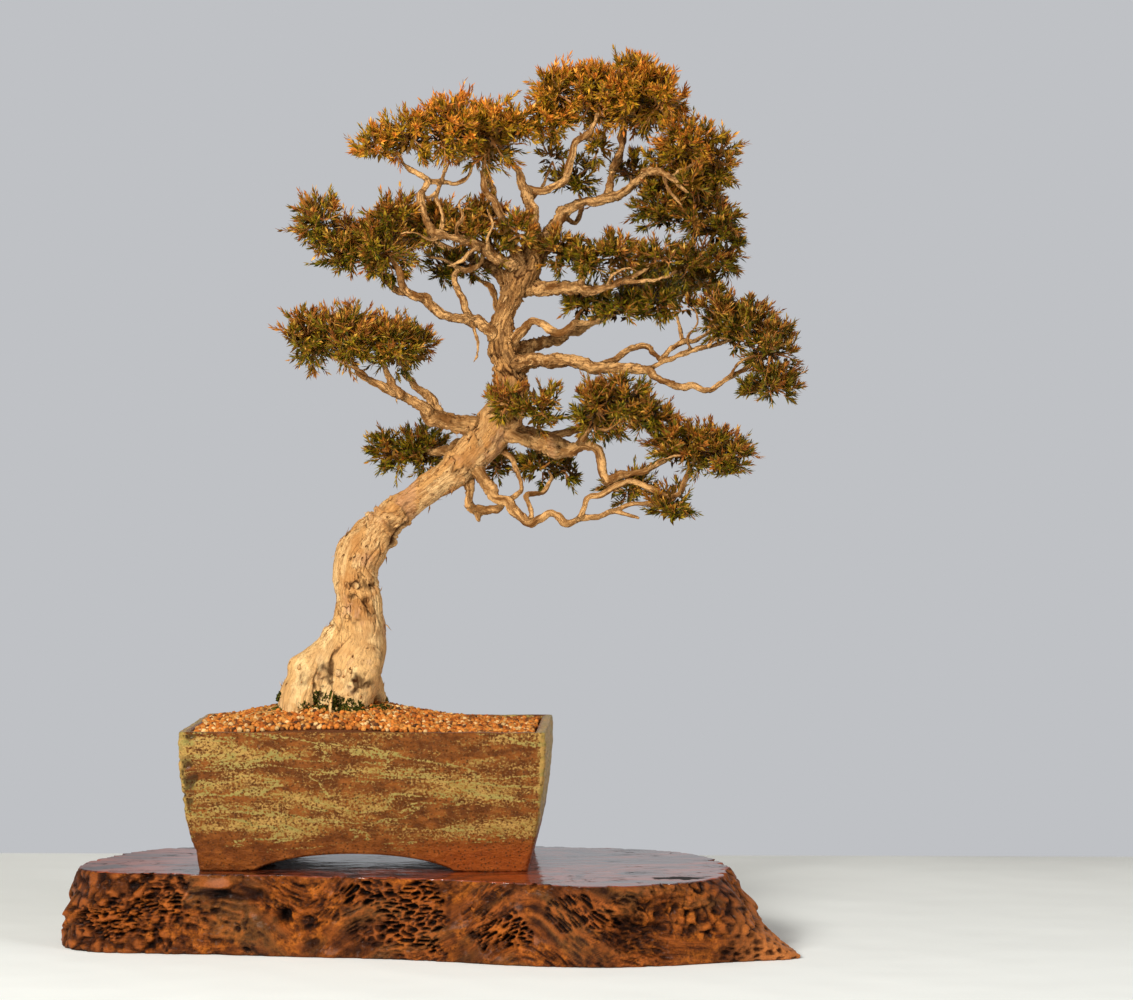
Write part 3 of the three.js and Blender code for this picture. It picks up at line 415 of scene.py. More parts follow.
def burl_relief(places):
    """How far the burl's edge stands in, in metres, and the place along the flow. It has broad lumps;
    folds, ropes and threads along the flow; nets of strands over deep holes; pits, and swirls left
    of the middle; round knobs towards both ends; the listed holes; and one smooth lump."""
    x, y, z = places[..., 0], places[..., 1], places[..., 2]
    sway = 0.022
    bend = sways(places / 0.045, (3, 5, 9))
    flow = np.stack([x, y, z - flow_height(x)], axis=-1) + sway * bend
    front = eased(-y, 0.0, 0.06)
    lumps = layered_noise(places / 0.045, 3, 21)
    folds = ridges(flow / np.array([0.09, 0.09, 0.021]), 2, 27)
    ropes = ridges(flow / np.array([0.045, 0.045, 0.0056]), 2, 31)
    threads = ridges(flow / np.array([0.02, 0.02, 0.0019]), 1, 35)
    walls, _ = cell_walls(flow / np.array([0.0135, 0.0135, 0.0042]), 41)
    small_walls, _ = cell_walls(flow / np.array([0.007, 0.007, 0.0034]), 45)
    net = eased(layered_noise(places / 0.05, 2, 51), 0.54, 0.62) * (1 - 0.6 * front)
    for net_x, net_z, wide, high in burl_nets:
        far = ((x - net_x) / wide) ** 2 + ((z - net_z) / high) ** 2
        far = far + 1.2 * (layered_noise(places / 0.012, 1, 53) - 0.5)
        net = np.maximum(net, (1 - eased(far, 0.6, 1.15)) * front)
    holes = net * np.maximum(eased(walls, 0.07, 0.4), 0.55 * eased(small_walls, 0.1, 0.45))
    ends = np.clip(eased(-x, 0.12, 0.2) + eased(x, 0.235, 0.29) * eased(z, 0.018, 0.03), 0, 1)
    knob_walls, knob_size = cell_walls((places + 0.3 * sway * bend) / 0.0125, 61)
    knobs = ends * (0.0035 * (1 - eased(knob_walls, 0.0, 0.45)) + 0.005 * (1 - knob_size))
    pitted = (0.45 + 0.55 * ends) * eased(layered_noise(places / 0.0065, 2, 67), 0.5, 0.72)
    left = eased(-x, 0.075, 0.1) * eased(x, -0.215, -0.19) * front
    swirls = ridges((places + 0.9 * sway * bend) / np.array([0.017, 0.017, 0.0075]), 2, 71)
    depth = 0.012 * (1 - lumps) + 0.007 * (1 - folds) * (1 - 0.5 * ends)
    depth += (0.0026 * (1 - ropes) + 0.0007 * (1 - threads)) * (1 - 0.7 * ends)
    depth += 0.0085 * holes + knobs + 0.003 * pitted + left * (0.0045 * (1 - swirls) + 0.002 * pitted)
    for hole_x, hole_z, wide, deep in burl_holes:
        far = (x - hole_x) ** 2 + (z - hole_z) ** 2
        depth += deep * np.exp(-far / wide**2) * front
    lump = np.exp(-(((x + 0.137) / 0.02) ** 4) - ((z - 0.069) / 0.01) ** 4) * front
    return depth * (1 - 0.8 * lump) - 0.004 * lump, flow


def blurred(table, rounds):
    """A table of values round a ring, each moved to the average of itself and its four neighbours,
    several times over."""
    for _ in range(rounds):
        padded = np.concatenate([table[:1], table, table[-1:]])
        table = (table + np.roll(table, 1, 1) + np.roll(table, -1, 1) + padded[2:] + padded[:-2]) / 5
    return table


relief, flow = burl_relief(side)
# The cavity, how far a place lies below or above its surroundings, is kept for the edge's material,
# which paints light on the crests and shade in the hollows from it.
cavity = np.clip((relief - blurred(relief, 60)) / 0.0046, -1, 1)
high_share = eased(rise, 0.86, 1.0)[:, None]
bites = eased(layered_noise(side / np.array([0.011, 0.011, 0.03]), 3, 81), 0.5, 0.68)
fade = (1 - 0.62 * eased(rise, 0.93, 1.0) - 0.5 * eased(1 - rise, 0.96, 1.0))[:, None]
inset = (relief - 0.0135) * fade + 0.006 * bites * high_share
side = side - outward * np.maximum(inset, -0.003)[..., None]
side[-1, :, 2] -= slab_rim_drop
edge = side[-1] + np.array([0, 0, slab_rim_drop])
calm_edge = edge
for _ in range(calm_rounds):
    calm_edge = (calm_edge + np.roll(calm_edge, 1, 0) + np.roll(calm_edge, -1, 0)) / 3
# The sawn top's rings: the outer ones keep the bites in the edge, and the others lie on the calm edge
# drawn in, so that no bite runs on to the middle as a fold.
inward = np.concatenate([[0.0012, 0.004, 0.012, 0.035], np.linspace(0.08, 0.9, 8)])
calm = np.array([0, 0, 0.25] + 9 * [1])[:, None, None]
top_rings = drawn_in(edge * (1 - calm) + calm_edge * calm, 1 - inward)
foot_rings = drawn_in(side[0], np.array([0.4, 0.8, 0.96]))
slab_rings = np.concatenate([foot_rings, side, top_rings])
slab_surface = closed_rings(0, slab_rings, slab_top_z)
slab = mesh_piece("burl_slab", slab_surface, *ring_faces(len(slab_rings), slab_columns))
first_side = 1 + len(foot_rings) * slab_columns
slab_hollow = np.zeros(len(slab_surface))
slab_hollow[first_side:first_side + cavity.size] = cavity.ravel()
point_values(slab, "hollow", slab_hollow)
slab_flow = slab_surface.copy()
slab_flow[first_side:first_side + cavity.size] = flow.reshape(-1, 3)
point_values(slab, "flow", slab_flow)


def cells(tree, place, scale):
    """Distance to the middle of the nearest cell."""
    made = shader_node(tree, "ShaderNodeTexVoronoi", {"Vector": place, "Scale": scale})
    return made.outputs["Distance"]


def stretched(tree, place, scale):
    """The place with each of its axes multiplied by its own number."""
    return shader_node(tree, "ShaderNodeMapping", {"Vector": place, "Scale": scale}).outputs["Vector"]


def with_layers(tree, tone, *layers):
    """A colour under further ones. Each layer is a value, the range of it that counts, the layer's
    share at both ends of that range, and its colour."""
    for value, low, high, to_low, to_high, shade in layers:
        tone = blended(tree, spread(tree, value, low, high, to_low, to_high), tone, colour(*shade))
    return tone


def attribute(tree, name, output="Fac"):
    """What the mesh stores under a name: a number, or with its output a Vector or Color."""
    return shader_node(tree, "ShaderNodeAttribute", {}, attribute_name=name).outputs[output]


def axes_of(tree, place):
    """A place's three coordinates, by name."""
    return shader_node(tree, "ShaderNodeSeparateXYZ", {"Vector": place}).outputs


def burl_material():
    """Oiled burl edge: red-brown and grey-brown grain along the flow, with small glints. The crests are
    painted lighter orange, partly the wood's own colour and partly painted light, and the hollows are
    painted dark to near black as their shade."""
    material, tree, surface = finish_named("burl_edge")
    place = object_place(tree)
    flow_place = attribute(tree, "flow", "Vector")
    grain = noise(tree, stretched(tree, flow_place, (45, 45, 260)), 1.0, 5.0, 0.7, 0.6)
    mottle = noise(tree, place, 75.0, 4.0, 0.65)
    patch = noise(tree, place, 24.0, 3.0)
    skin = noise(tree, stretched(tree, flow_place, (12, 12, 34)), 1.0, 2.0)
    flecks = noise(tree, place, 330.0, 3.0, 0.7)
    toe = axes_of(tree, place)["X"]
    pit = attribute(tree, "hollow")
    tone = blended(tree, spread(tree, grain, 0.34, 0.66), colour(70, 31, 7), colour(140, 72, 21))
    tone = with_layers(
        tree, tone,
        (mottle, 0.47, 0.66, 0.0, 0.9, (188, 104, 32)),
        (patch, 0.42, 0.58, 0.0, 0.8, (66, 31, 10)),
        (skin, 0.5, 0.66, 0.0, 0.6, (108, 72, 36)),
        (flecks, 0.5, 0.68, 0.0, 0.7, (58, 24, 6)),
        (toe, 0.33, 0.385, 0.0, 0.75, (214, 132, 70)),
        # Painted light and shade from the cavity: lighter orange on the crests, dark to near black in
        # the hollows.
        (pit, -0.85, 0.0, 0.5, 0.0, (196, 106, 44)),
        (pit, -0.1, 0.55, 0.0, 0.88, (34, 13, 5)),
        (pit, 0.6, 1.0, 0.0, 0.9, (8, 3, 2)),
    )
    height = calculated(tree, "ADD", grain, calculated(tree, "MULTIPLY", flecks, 0.9))
    fill_sockets(tree, surface, {
        "Base Color": tone, "Roughness": spread(tree, mottle, 0.35, 0.65, 0.36, 0.6),
        "Specular IOR Level": 0.1, "Normal": bumped(tree, height, 0.003),
        "Coat Weight": 0.03, "Coat Roughness": 0.2,
    })
    return material


def node_group(name, inputs, outputs):
    """An empty shader node group with named inputs and outputs, all numbers but Place, a vector.
    Gives the group, the sockets that bring its inputs and the node that takes its outputs."""
    group = bpy.data.node_groups.new(name, "ShaderNodeTree")
    for way, names in (("INPUT", inputs), ("OUTPUT", outputs)):
        for socket in names:
            kind = "NodeSocketVector" if socket == "Place" else "NodeSocketFloat"
            group.interface.new_socket(name=socket, in_out=way, socket_type=kind)
    return group, group.nodes.new("NodeGroupInput").outputs, group.nodes.new("NodeGroupOutput")


# Thin lines along which a value passes a level: at full strength as far off it as Solid, and gone at
# Faded.
thin_lines, given, result = node_group(
    "thin_lines", ("Value", "Level", "Solid", "Faded", "Strength"), ("Line",)
)
off_level = calculated(thin_lines, "SUBTRACT", given["Value"], given["Level"])
off_level = calculated(thin_lines, "ABSOLUTE", off_level, 0)
line = spread(thin_lines, off_level, given["Solid"], given["Faded"], given["Strength"], 0.0)
fill_sockets(thin_lines, result, {"Line": line})


def lines_at(tree, value, level, solid, faded, strength):
    """Places the thin lines in a material with its own values."""
    inputs = {"Value": value, "Level": level, "Solid": solid, "Faded": faded, "Strength": strength}
    return shader_node(tree, "ShaderNodeGroup", inputs, node_tree=thin_lines).outputs["Line"]


def lacquer_material():
    """Lacquered burl top: dark red-brown figure with near black eyes under a clear gloss that is
    duller at the left, thin broken cracks, and one short jagged split at the right front. The split
    is where a place's share across it and its share along it, both squared, add up to less than 1."""
    material, tree, surface = finish_named("lacquered_burl")
    place = object_place(tree)
    figure = noise(tree, stretched(tree, place, (9, 16, 9)), 1.0, 6.0, 0.62, 2.2)
    eyes = cells(tree, place, 55.0)
    tone = blended(tree, spread(tree, figure, 0.36, 0.66), colour(44, 13, 4), colour(150, 62, 18))
    tone = with_layers(tree, tone, (eyes, 0.05, 0.3, 0.55, 0.0, (30, 12, 7)))
    cracks = noise(tree, stretched(tree, place, (13, 30, 9)), 1.0, 4.0, 0.6, 2.4)
    breaks = noise(tree, stretched(tree, place, (26, 18, 9)), 1.0, 2.0)
    line = lines_at(tree, cracks, level=0.57, solid=0.004, faded=0.016, strength=1.0)
    line = calculated(tree, "MULTIPLY", line, spread(tree, breaks, 0.46, 0.56))
    tone = blended(tree, line, tone, colour(14, 7, 4))
    axes = axes_of(tree, place)
    jagged = noise(tree, place, 80.0, 3.0, 0.7)
    split = calculated(tree, "ADD", axes["Y"], calculated(tree, "MULTIPLY", jagged, 0.034))
    split = calculated(tree, "ABSOLUTE", calculated(tree, "ADD", split, 0.117), 0)
    across = spread(tree, split, 0.0, 0.012)
    along = spread(tree, axes["X"], 0.26, 0.324, -1.0, 1.0)
    split = calculated(tree, "MULTIPLY", across, across)
    split = calculated(tree, "ADD", split, calculated(tree, "MULTIPLY", along, along))
    split = spread(tree, split, 0.75, 0.95, 1.0, 0.0)
    line = calculated(tree, "MAXIMUM", line, split)
    tone = blended(tree, split, tone, colour(22, 10, 4))
    gloss = calculated(tree, "SUBTRACT", spread(tree, axes["X"], -0.27, -0.12, 0.3, 0.85), line)
    ripple = noise(tree, stretched(tree, place, (22, 60, 9)), 1.0, 3.0)
    fill_sockets(tree, surface, {
        "Base Color": tone, "Roughness": spread(tree, line, 0.0, 1.0, 0.42, 0.8),
        "Specular IOR Level": 0.3, "Coat Weight": gloss, "Coat Roughness": 0.06,
        "Coat Normal": bumped(tree, ripple, 0.0016, 0.32),
    })
    return material


slab.data.materials.append(burl_material())
slab.data.materials.append(lacquer_material())
top_start = (len(foot_rings) + slab_side_rows) * slab_columns
slab_face_kind = np.zeros(len(slab.data.polygons), np.int32)
slab_face_kind[top_start - slab_columns:(len(slab_rings) - 1) * slab_columns] = 1
slab_face_kind[-slab_columns:] = 1
slab.data.polygons.foreach_set("material_index", slab_face_kind)
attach(slab, "root")
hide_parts("display_slab")


# Pot
# Slab-built stoneware with walls that curve in to the feet, an arch cut through its foot from front
# to back, rough hand-dragged sides and a runny ash glaze. It stands on the slab.
pot_low, pot_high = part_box("pot")
pot_half_width = pot_high.x
pot_half_depth = pot_high.y
pot_height = pot_high.z - pot_low.z
pot_foot_inset = 18 * MM
pot_straight_from = 105 * MM
pot_wall = 11 * MM
pot_corner = 6 * MM
inner_corner = 0.5 * MM
pot_floor = 25 * MM
rim_round = 2.6 * MM
rim_wobble_height = 1.6 * MM
rim_wobble_rows = 6
arch_middle = -9 * MM
arch_half_span = 104 * MM
arch_rise = 16.5 * MM
drain_radius = 11 * MM
drain_spacing = 70 * MM


def oblong_path():
    """One trip round a rounded oblong: for each column the share of the straight half width and
    half depth, and the direction that the corner's arc adds. It runs anticlockwise from above."""
    front, flank, arc = 150, 96, 7
    run = np.linspace(-1, 1, front, endpoint=False)
    back = np.linspace(-1, 1, flank, endpoint=False)
    bow = np.linspace(0, 1, arc, endpoint=False)
    parts = []
    for quarter, straight in enumerate((run, back, -run, -back)):
        facing = (quarter - 1) * np.pi / 2
        steady = np.full(len(straight), (1, 1, -1, -1)[quarter])
        shares = (straight, -steady) if quarter % 2 == 0 else (steady, straight)
        parts.append(np.stack([*shares, np.full(len(straight), facing)], -1))
        corner = ((1, -1), (1, 1), (-1, 1), (-1, -1))[quarter]
        corner_shares = np.full((arc, 2), corner)
        parts.append(np.concatenate([corner_shares, (facing + bow * np.pi / 2)[:, None]], -1))
    return np.concatenate(parts)


path = oblong_path()


def oblong(inset, corner):
    """Points on the oblong path, drawn in from the pot's rim by an inset."""
    half_width = pot_half_width - inset - corner
    half_depth = pot_half_depth - inset - corner
    x = path[:, 0] * half_width + corner * np.cos(path[:, 2])
    y = path[:, 1] * half_depth + corner * np.sin(path[:, 2])
    return x, y


def level_ring(inset, corner, height):
    """The oblong drawn in by an inset, as a ring of points at a height."""
    x, y = oblong(inset, corner)
    return np.stack([x, y, np.full(len(x), height)], -1)


def wall_inset(height):
    """How far the wall has drawn in: nothing near the rim, more and more steeply to the foot."""
    fall = np.maximum(0, 1 - height / pot_straight_from)
    return pot_foot_inset * (0.35 * fall + 0.65 * fall**2.2)


def arch_height(x):
    """Height of the arch under the pot: a cubic curve that rises from both feet to its middle."""
    step = np.linspace(0, 1, 60)
    lean = 0.58 * arch_half_span
    across = (1 - step) ** 3 - step**3
    across = arch_half_span * across + 3 * lean * step * (1 - step) * (1 - 2 * step)
    height = 4 * arch_rise * step * (1 - step)
    return np.interp(x - arch_middle, across[::-1], height[::-1], left=0, right=0)


def wall_ring(height, inset, corner):
    """A ring of the wall whose lowest points follow the arch and whose rim is level."""
    x, y = oblong(inset, corner)
    foot = arch_height(x)
    z = foot + (pot_height - foot) * height / pot_height
    x, y = oblong(wall_inset(z) + inset, corner)
    return np.stack([x, y, z], -1)


outer_rows = 56
outer_heights = np.linspace(0, pot_height - rim_round, outer_rows)
outer = np.stack([wall_ring(height, 0, pot_corner) for height in outer_heights])
facing = np.stack([np.cos(path[:, 2]), np.sin(path[:, 2]), 0 * path[:, 2]], -1)


def clay_relief(places):
    """Depth of the hand-dragged clay, in metres: long level ridges, torn edges along them, pits, a
    crust, and deep bites along the front left corner."""
    swayed = places + 0.006 * (layered_noise(places / 0.03, 2, 7)[..., None] - 0.5)
    drag = ridges(swayed / np.array([0.06, 0.06, 0.006]), 3, 11)
    tears = layered_noise(swayed / np.array([0.016, 0.016, 0.0035]), 3, 17)
    pits = eased(layered_noise(places / 0.0032, 2, 23), 0.62, 0.8)
    near_corner = eased(-(places[..., 0] + places[..., 1] * 0.25), 0.176, 0.186)
    bites = eased(layered_noise(places / np.array([0.02, 0.02, 0.011]), 2, 27), 0.42, 0.7)
    crust = eased(layered_noise(places / np.array([0.007, 0.007, 0.004]), 2, 29), 0.35, 0.65)
    depth = 0.0009 * (1 - drag) + 0.0011 * tears + 0.0008 * pits + 0.0007 * crust
    return depth + 0.005 * near_corner * bites


foot_fade = eased(outer_heights, 0.0, 0.006)[:, None]
outer_relief = clay_relief(outer) * (0.25 + 0.75 * foot_fade)
outer = outer - facing * outer_relief[..., None]
# The rim's section, as the inset from the outer wall and the height from the rim, in millimetres.
rim_profile = [
    (0.3, -1.2), (1.2, -0.3), (2.6, 0), (5.5, 0), (8.4, 0), (9.8, -0.3), (10.7, -1.2), (11, -2.6),
]
rim_rings = np.stack([
    level_ring(inset * MM, max(pot_corner - inset * MM, inner_corner), pot_height + drop * MM)
    for inset, drop in rim_profile
])
rim_wobble = layered_noise(rim_rings[2] / 0.022, 2, 33) - 0.75
rim_rings[..., 2] += rim_wobble_height * rim_wobble
rim_wobble_share = np.linspace(0, 1, rim_wobble_rows)[:, None]
outer[-rim_wobble_rows:, :, 2] += rim_wobble_height * rim_wobble * rim_wobble_share
rim_rings[:2] -= facing * outer_relief[-1][:, None] * np.array([0.9, 0.5])[:, None, None]
inner = np.stack([
    level_ring(wall_inset(height) + pot_wall, inner_corner, height)
    for height in np.linspace(pot_height - 6 * MM, pot_floor, 12)
])
floor_rings = drawn_in(inner[-1], np.array([0.96, 0.8, 0.55, 0.3, 0.1]))
base_rings = drawn_in(outer[0], np.linspace(0.06, 0.985, 14))
base_rings[..., 2] = arch_height(base_rings[..., 0])
pot_rings = np.concatenate([base_rings, outer, rim_rings, inner, floor_rings])
pot_rings = pot_rings + np.array([0, 0, pot_low.z])
pot_middle = arch_height(np.zeros(1))[0]
pot_surface = closed_rings(pot_low.z + pot_middle, pot_rings, pot_low.z + pot_floor)
pot = mesh_piece("stoneware_pot", pot_surface, *ring_faces(len(pot_rings), len(path)))
pot_depth = np.zeros(len(pot_surface))
first_outer = 1 + len(base_rings) * len(path)
pot_depth[first_outer:first_outer + outer_relief.size] = outer_relief.ravel() / 0.003
# The depth is kept for the glaze, which paints shade into the deeper places.
point_values(pot, "depth", pot_depth)


def glaze_material():
    """Ash glaze on brown clay: specks of ochre, thick in wavy level bands and thin between them, with
    greenish streaks broken by the specks, dark dots, and bare rusty clay at the foot. The deeper places
    of the dragged clay are painted darker, as their shade. The cover is the sum of the bands, streaks
    and specks, and the glaze lies where it is high."""
    material, tree, surface = finish_named("ash_glaze")
    place = object_place(tree)
    bands = noise(tree, stretched(tree, place, (8, 8, 50)), 1.0, 4.0, 0.55, 0.7)
    specks = noise(tree, stretched(tree, place, (400, 400, 520)), 1.0, 4.0, 0.72)
    blots = noise(tree, stretched(tree, place, (70, 70, 120)), 1.0, 4.0, 0.6)
    streaks = noise(tree, stretched(tree, place, (6, 6, 36)), 1.0, 3.0, 0.55, 1.2)
    streak = lines_at(tree, streaks, level=0.535, solid=0.0, faded=0.03, strength=0.9)
    streak = calculated(tree, "MULTIPLY", streak, spread(tree, specks, 0.38, 0.56, 0.15, 1.0))
    clay = blended(tree, spread(tree, blots, 0.36, 0.66), colour(98, 52, 18), colour(146, 84, 34))
    ash = blended(tree, spread(tree, blots, 0.4, 0.62), colour(196, 154, 84), colour(168, 140, 72))
    ash = blended(tree, calculated(tree, "MULTIPLY", streak, 0.7), ash, colour(152, 150, 84))
    cover = spread(tree, bands, 0.38, 0.66, -0.17, 0.12)
    cover = calculated(tree, "ADD", cover, calculated(tree, "MULTIPLY", streak, 0.3))
    cover = calculated(tree, "ADD", cover, calculated(tree, "MULTIPLY", specks, 1.35))
    axes = axes_of(tree, place)
    bare_foot = spread(tree, axes["Z"], pot_low.z + 0.012, pot_low.z + 0.04, 0.5, 0.0)
    cover = calculated(tree, "SUBTRACT", cover, bare_foot)
    rusty = calculated(tree, "MULTIPLY", bare_foot, spread(tree, axes["X"], 0.02, 0.1, 0.3, 1.4))
    clay = blended(tree, rusty, clay, colour(168, 80, 26))
    sideways = calculated(tree, "ABSOLUTE", axes["X"], 0)
    flank = spread(tree, sideways, pot_half_width - 0.01, pot_half_width - 0.004, 0.0, 0.4)
    cover = calculated(tree, "ADD", cover, flank)
    tone = with_layers(
        tree, blended(tree, spread(tree, cover, 0.6, 0.84), clay, ash),
        (cells(tree, place, 270.0), 0.14, 0.36, 0.85, 0.0, (80, 44, 16)),
        # Painted shade: the deeper places of the dragged clay, with the bites at the front left corner,
        # are darkened.
        (attribute(tree, "depth"), 0.5, 1.1, 0.0, 0.8, (58, 40, 18)),
    )
    rough = calculated(tree, "ADD", specks, blots)
    fill_sockets(tree, surface, {
        "Base Color": tone, "Roughness": spread(tree, specks, 0.35, 0.65, 0.22, 0.5),
        "Specular IOR Level": 0.12, "Normal": bumped(tree, rough, 0.003),
        "Coat Weight": 0.05, "Coat Roughness": 0.15,
    })
    return material


pot.data.materials.append(glaze_material())


def with_modifier(piece, kind, **settings):
    """Applies one modifier to a piece and keeps what it made as the piece's own mesh."""
    modifier = piece.modifiers.new(kind.lower(), kind)
    for name, value in settings.items():
        setattr(modifier, name, value)
    shaped = piece.evaluated_get(bpy.context.evaluated_depsgraph_get())
    made, old = bpy.data.meshes.new_from_object(shaped), piece.data
    piece.modifiers.clear()
    piece.data = made
    bpy.data.meshes.remove(old)


# Upright round drills take the two drainage holes out of the pot's floor.
drill_sides = 24
drill_low = pot_low.z - 0.02
drill_high = pot_low.z + 0.05
angle = np.linspace(0, 2 * np.pi, drill_sides, endpoint=False)
for side_x in (-drain_spacing, drain_spacing):
    circle = np.stack([side_x + drain_radius * np.cos(angle), drain_radius * np.sin(angle)], -1)
    ends = np.stack([
        np.concatenate([circle, np.full((drill_sides, 1), z)], -1) for z in (drill_low, drill_high)
    ])
    points = closed_rings(drill_low, ends, drill_high, side_x)
    drill = mesh_piece("drill", points, *ring_faces(len(ends), drill_sides))
    with_modifier(pot, "BOOLEAN", operation="DIFFERENCE", solver="MANIFOLD", object=drill)
    bpy.data.objects.remove(drill)
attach(pot, "root")
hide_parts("pot")


# Soil and drain screens
# Granular potting mix fills the pot under the gravel, over two squares of black plastic mesh. The
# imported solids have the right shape, so they only get their finish.

# A fine mottle: even-grained noise, and the share of a second tone where it runs from Low to High.
fine_mottle, given, result = node_group(
    "fine_mottle", ("Place", "Scale", "Detail", "Low", "High", "Most"), ("Share", "Grain")
)
mottling = noise(fine_mottle, given["Place"], given["Scale"], given["Detail"])
mottle_share = spread(fine_mottle, mottling, given["Low"], given["High"], 0.0, given["Most"])
fill_sockets(fine_mottle, result, {"Share": mottle_share, "Grain": mottling})


def mottle_of(tree, scale, detail, low, high, most):
    """Places the fine mottle in a material with its own values: gives its share and its grain."""
    inputs = {
        "Place": object_place(tree), "Scale": scale, "Detail": detail, "Low": low, "High": high,
        "Most": most,
    }
    made = shader_node(tree, "ShaderNodeGroup", inputs, node_tree=fine_mottle).outputs
    return made["Share"], made["Grain"]


def soil_material():
    """Damp brown grains with a few pale ones."""
    material, tree, surface = finish_named("potting_mix")
    grains = cells(tree, object_place(tree), 420.0)
    tone = blended(tree, spread(tree, grains, 0.1, 0.6), colour(88, 62, 42), colour(36, 24, 16))
    pale, _ = mottle_of(tree, scale=260.0, detail=2.0, low=0.66, high=0.72, most=1.0)
    fill_sockets(tree, surface, {
        "Base Color": blended(tree, pale, tone, colour(170, 140, 104)), "Roughness": 0.95,
        "Normal": bumped(tree, grains, 0.002),
    })
    return material


def screen_material():
    """Black moulded plastic with a fine matt grain."""
    material, tree, surface = finish_named("screen_mesh")
    grain = noise(tree, object_place(tree), 900.0, 2.0)
    fill_sockets(tree, surface, {
        "Base Color": blended(tree, grain, colour(22, 22, 24), colour(44, 44, 46)), "Roughness": 0.6,
        "Normal": bumped(tree, grain, 0.0002),
    })
    return material


screen_finish = screen_material()
inside_pot = {
    "soil": soil_material(), "drain_screen_left": screen_finish, "drain_screen_right": screen_finish,
}
for node, finish in inside_pot.items():
    nodes[node].data.materials.clear()
    nodes[node].data.materials.append(finish)


# Gravel
# A loose layer of fired-clay and stone grit over the soil, 3 to 6 mm a grain, heaped round the
# trunk's foot and level with the pot's rim. Each grain lies where it was poured.
gravel_seed = 11
stone_spacing = 4.3 * MM
smallest_stone = 1.9
largest_stone = 3.2
trunk_foot_x = -34 * MM
trunk_foot_y = 2 * MM
stoneless_half_width = 48 * MM
stoneless_half_depth = 24 * MM
mound_rise = 25 * MM
mound_x = -33 * MM
mound_half_width = 106 * MM
mound_half_depth = 85 * MM
rim_z = pot_high.z
gravel_under_rim = 4.6 * MM
stones_over_body = 1.4 * MM
body_low = rim_z - 9 * MM + 0.4 * MM
gravel_half_width = pot_half_width - pot_wall - 0.9 * MM
gravel_half_depth = pot_half_depth - pot_wall - 0.9 * MM


def mound_top(x, y):
    """Height of the gravel: level just under the rim, with a bell-shaped mound at the trunk."""
    bell = np.exp(-(((x - mound_x) / mound_half_width) ** 2) - (y / mound_half_depth) ** 2)
    return rim_z - gravel_under_rim + mound_rise * bell


def stone_ball():
    """A ball of 18 points and 32 faces: an octahedron with each edge halved and pushed out."""
    poles = np.array([[1, 0, 0], [-1, 0, 0], [0, 1, 0], [0, -1, 0], [0, 0, 1], [0, 0, -1]], float)
    points = [tuple(pole) for pole in poles]
    faces = []
    for x, y, z in itertools.product((0, 1), (2, 3), (4, 5)):
        corner = (x, y, z) if (x + y + z) % 2 == 0 else (y, x, z)
        halves = []
        for first, second in ((0, 1), (1, 2), (2, 0)):
            half = poles[corner[first]] + poles[corner[second]]
            half = tuple((half / np.linalg.norm(half)).round(6))
            if half not in points:
                points.append(half)
            halves.append(points.index(half))
        faces += [(corner[0], halves[0], halves[2]), (corner[1], halves[1], halves[0])]
        faces += [(corner[2], halves[2], halves[1]), tuple(halves)]
    return np.array(points), np.array(faces)


def turned(points, draw):
    """Each row's points turned by that row's own random turn, from a random unit quaternion."""
    quaternion = draw.normal(size=(len(points), 4))
    w, x, y, z = (quaternion / np.linalg.norm(quaternion, axis=1, keepdims=True)).T
    turns = np.stack([
        np.stack([1 - 2 * (y * y + z * z), 2 * (x * y - w * z), 2 * (x * z + w * y)], -1),
        np.stack([2 * (x * y + w * z), 1 - 2 * (x * x + z * z), 2 * (y * z - w * x)], -1),
        np.stack([2 * (x * z - w * y), 2 * (y * z + w * x), 1 - 2 * (x * x + y * y)], -1),
    ], 1)
    return np.einsum("nij,npj->npi", turns, points)


def repeated(faces, count, points_each):
    """The faces of one small shape, repeated for a row of like shapes."""
    return (faces[None] + (np.arange(count) * points_each)[:, None, None]).reshape(-1, faces.shape[1])


def tones(*shades):
    """Linear colours, one row for each."""
    return np.array([colour(*shade) for shade in shades])[:, :3]


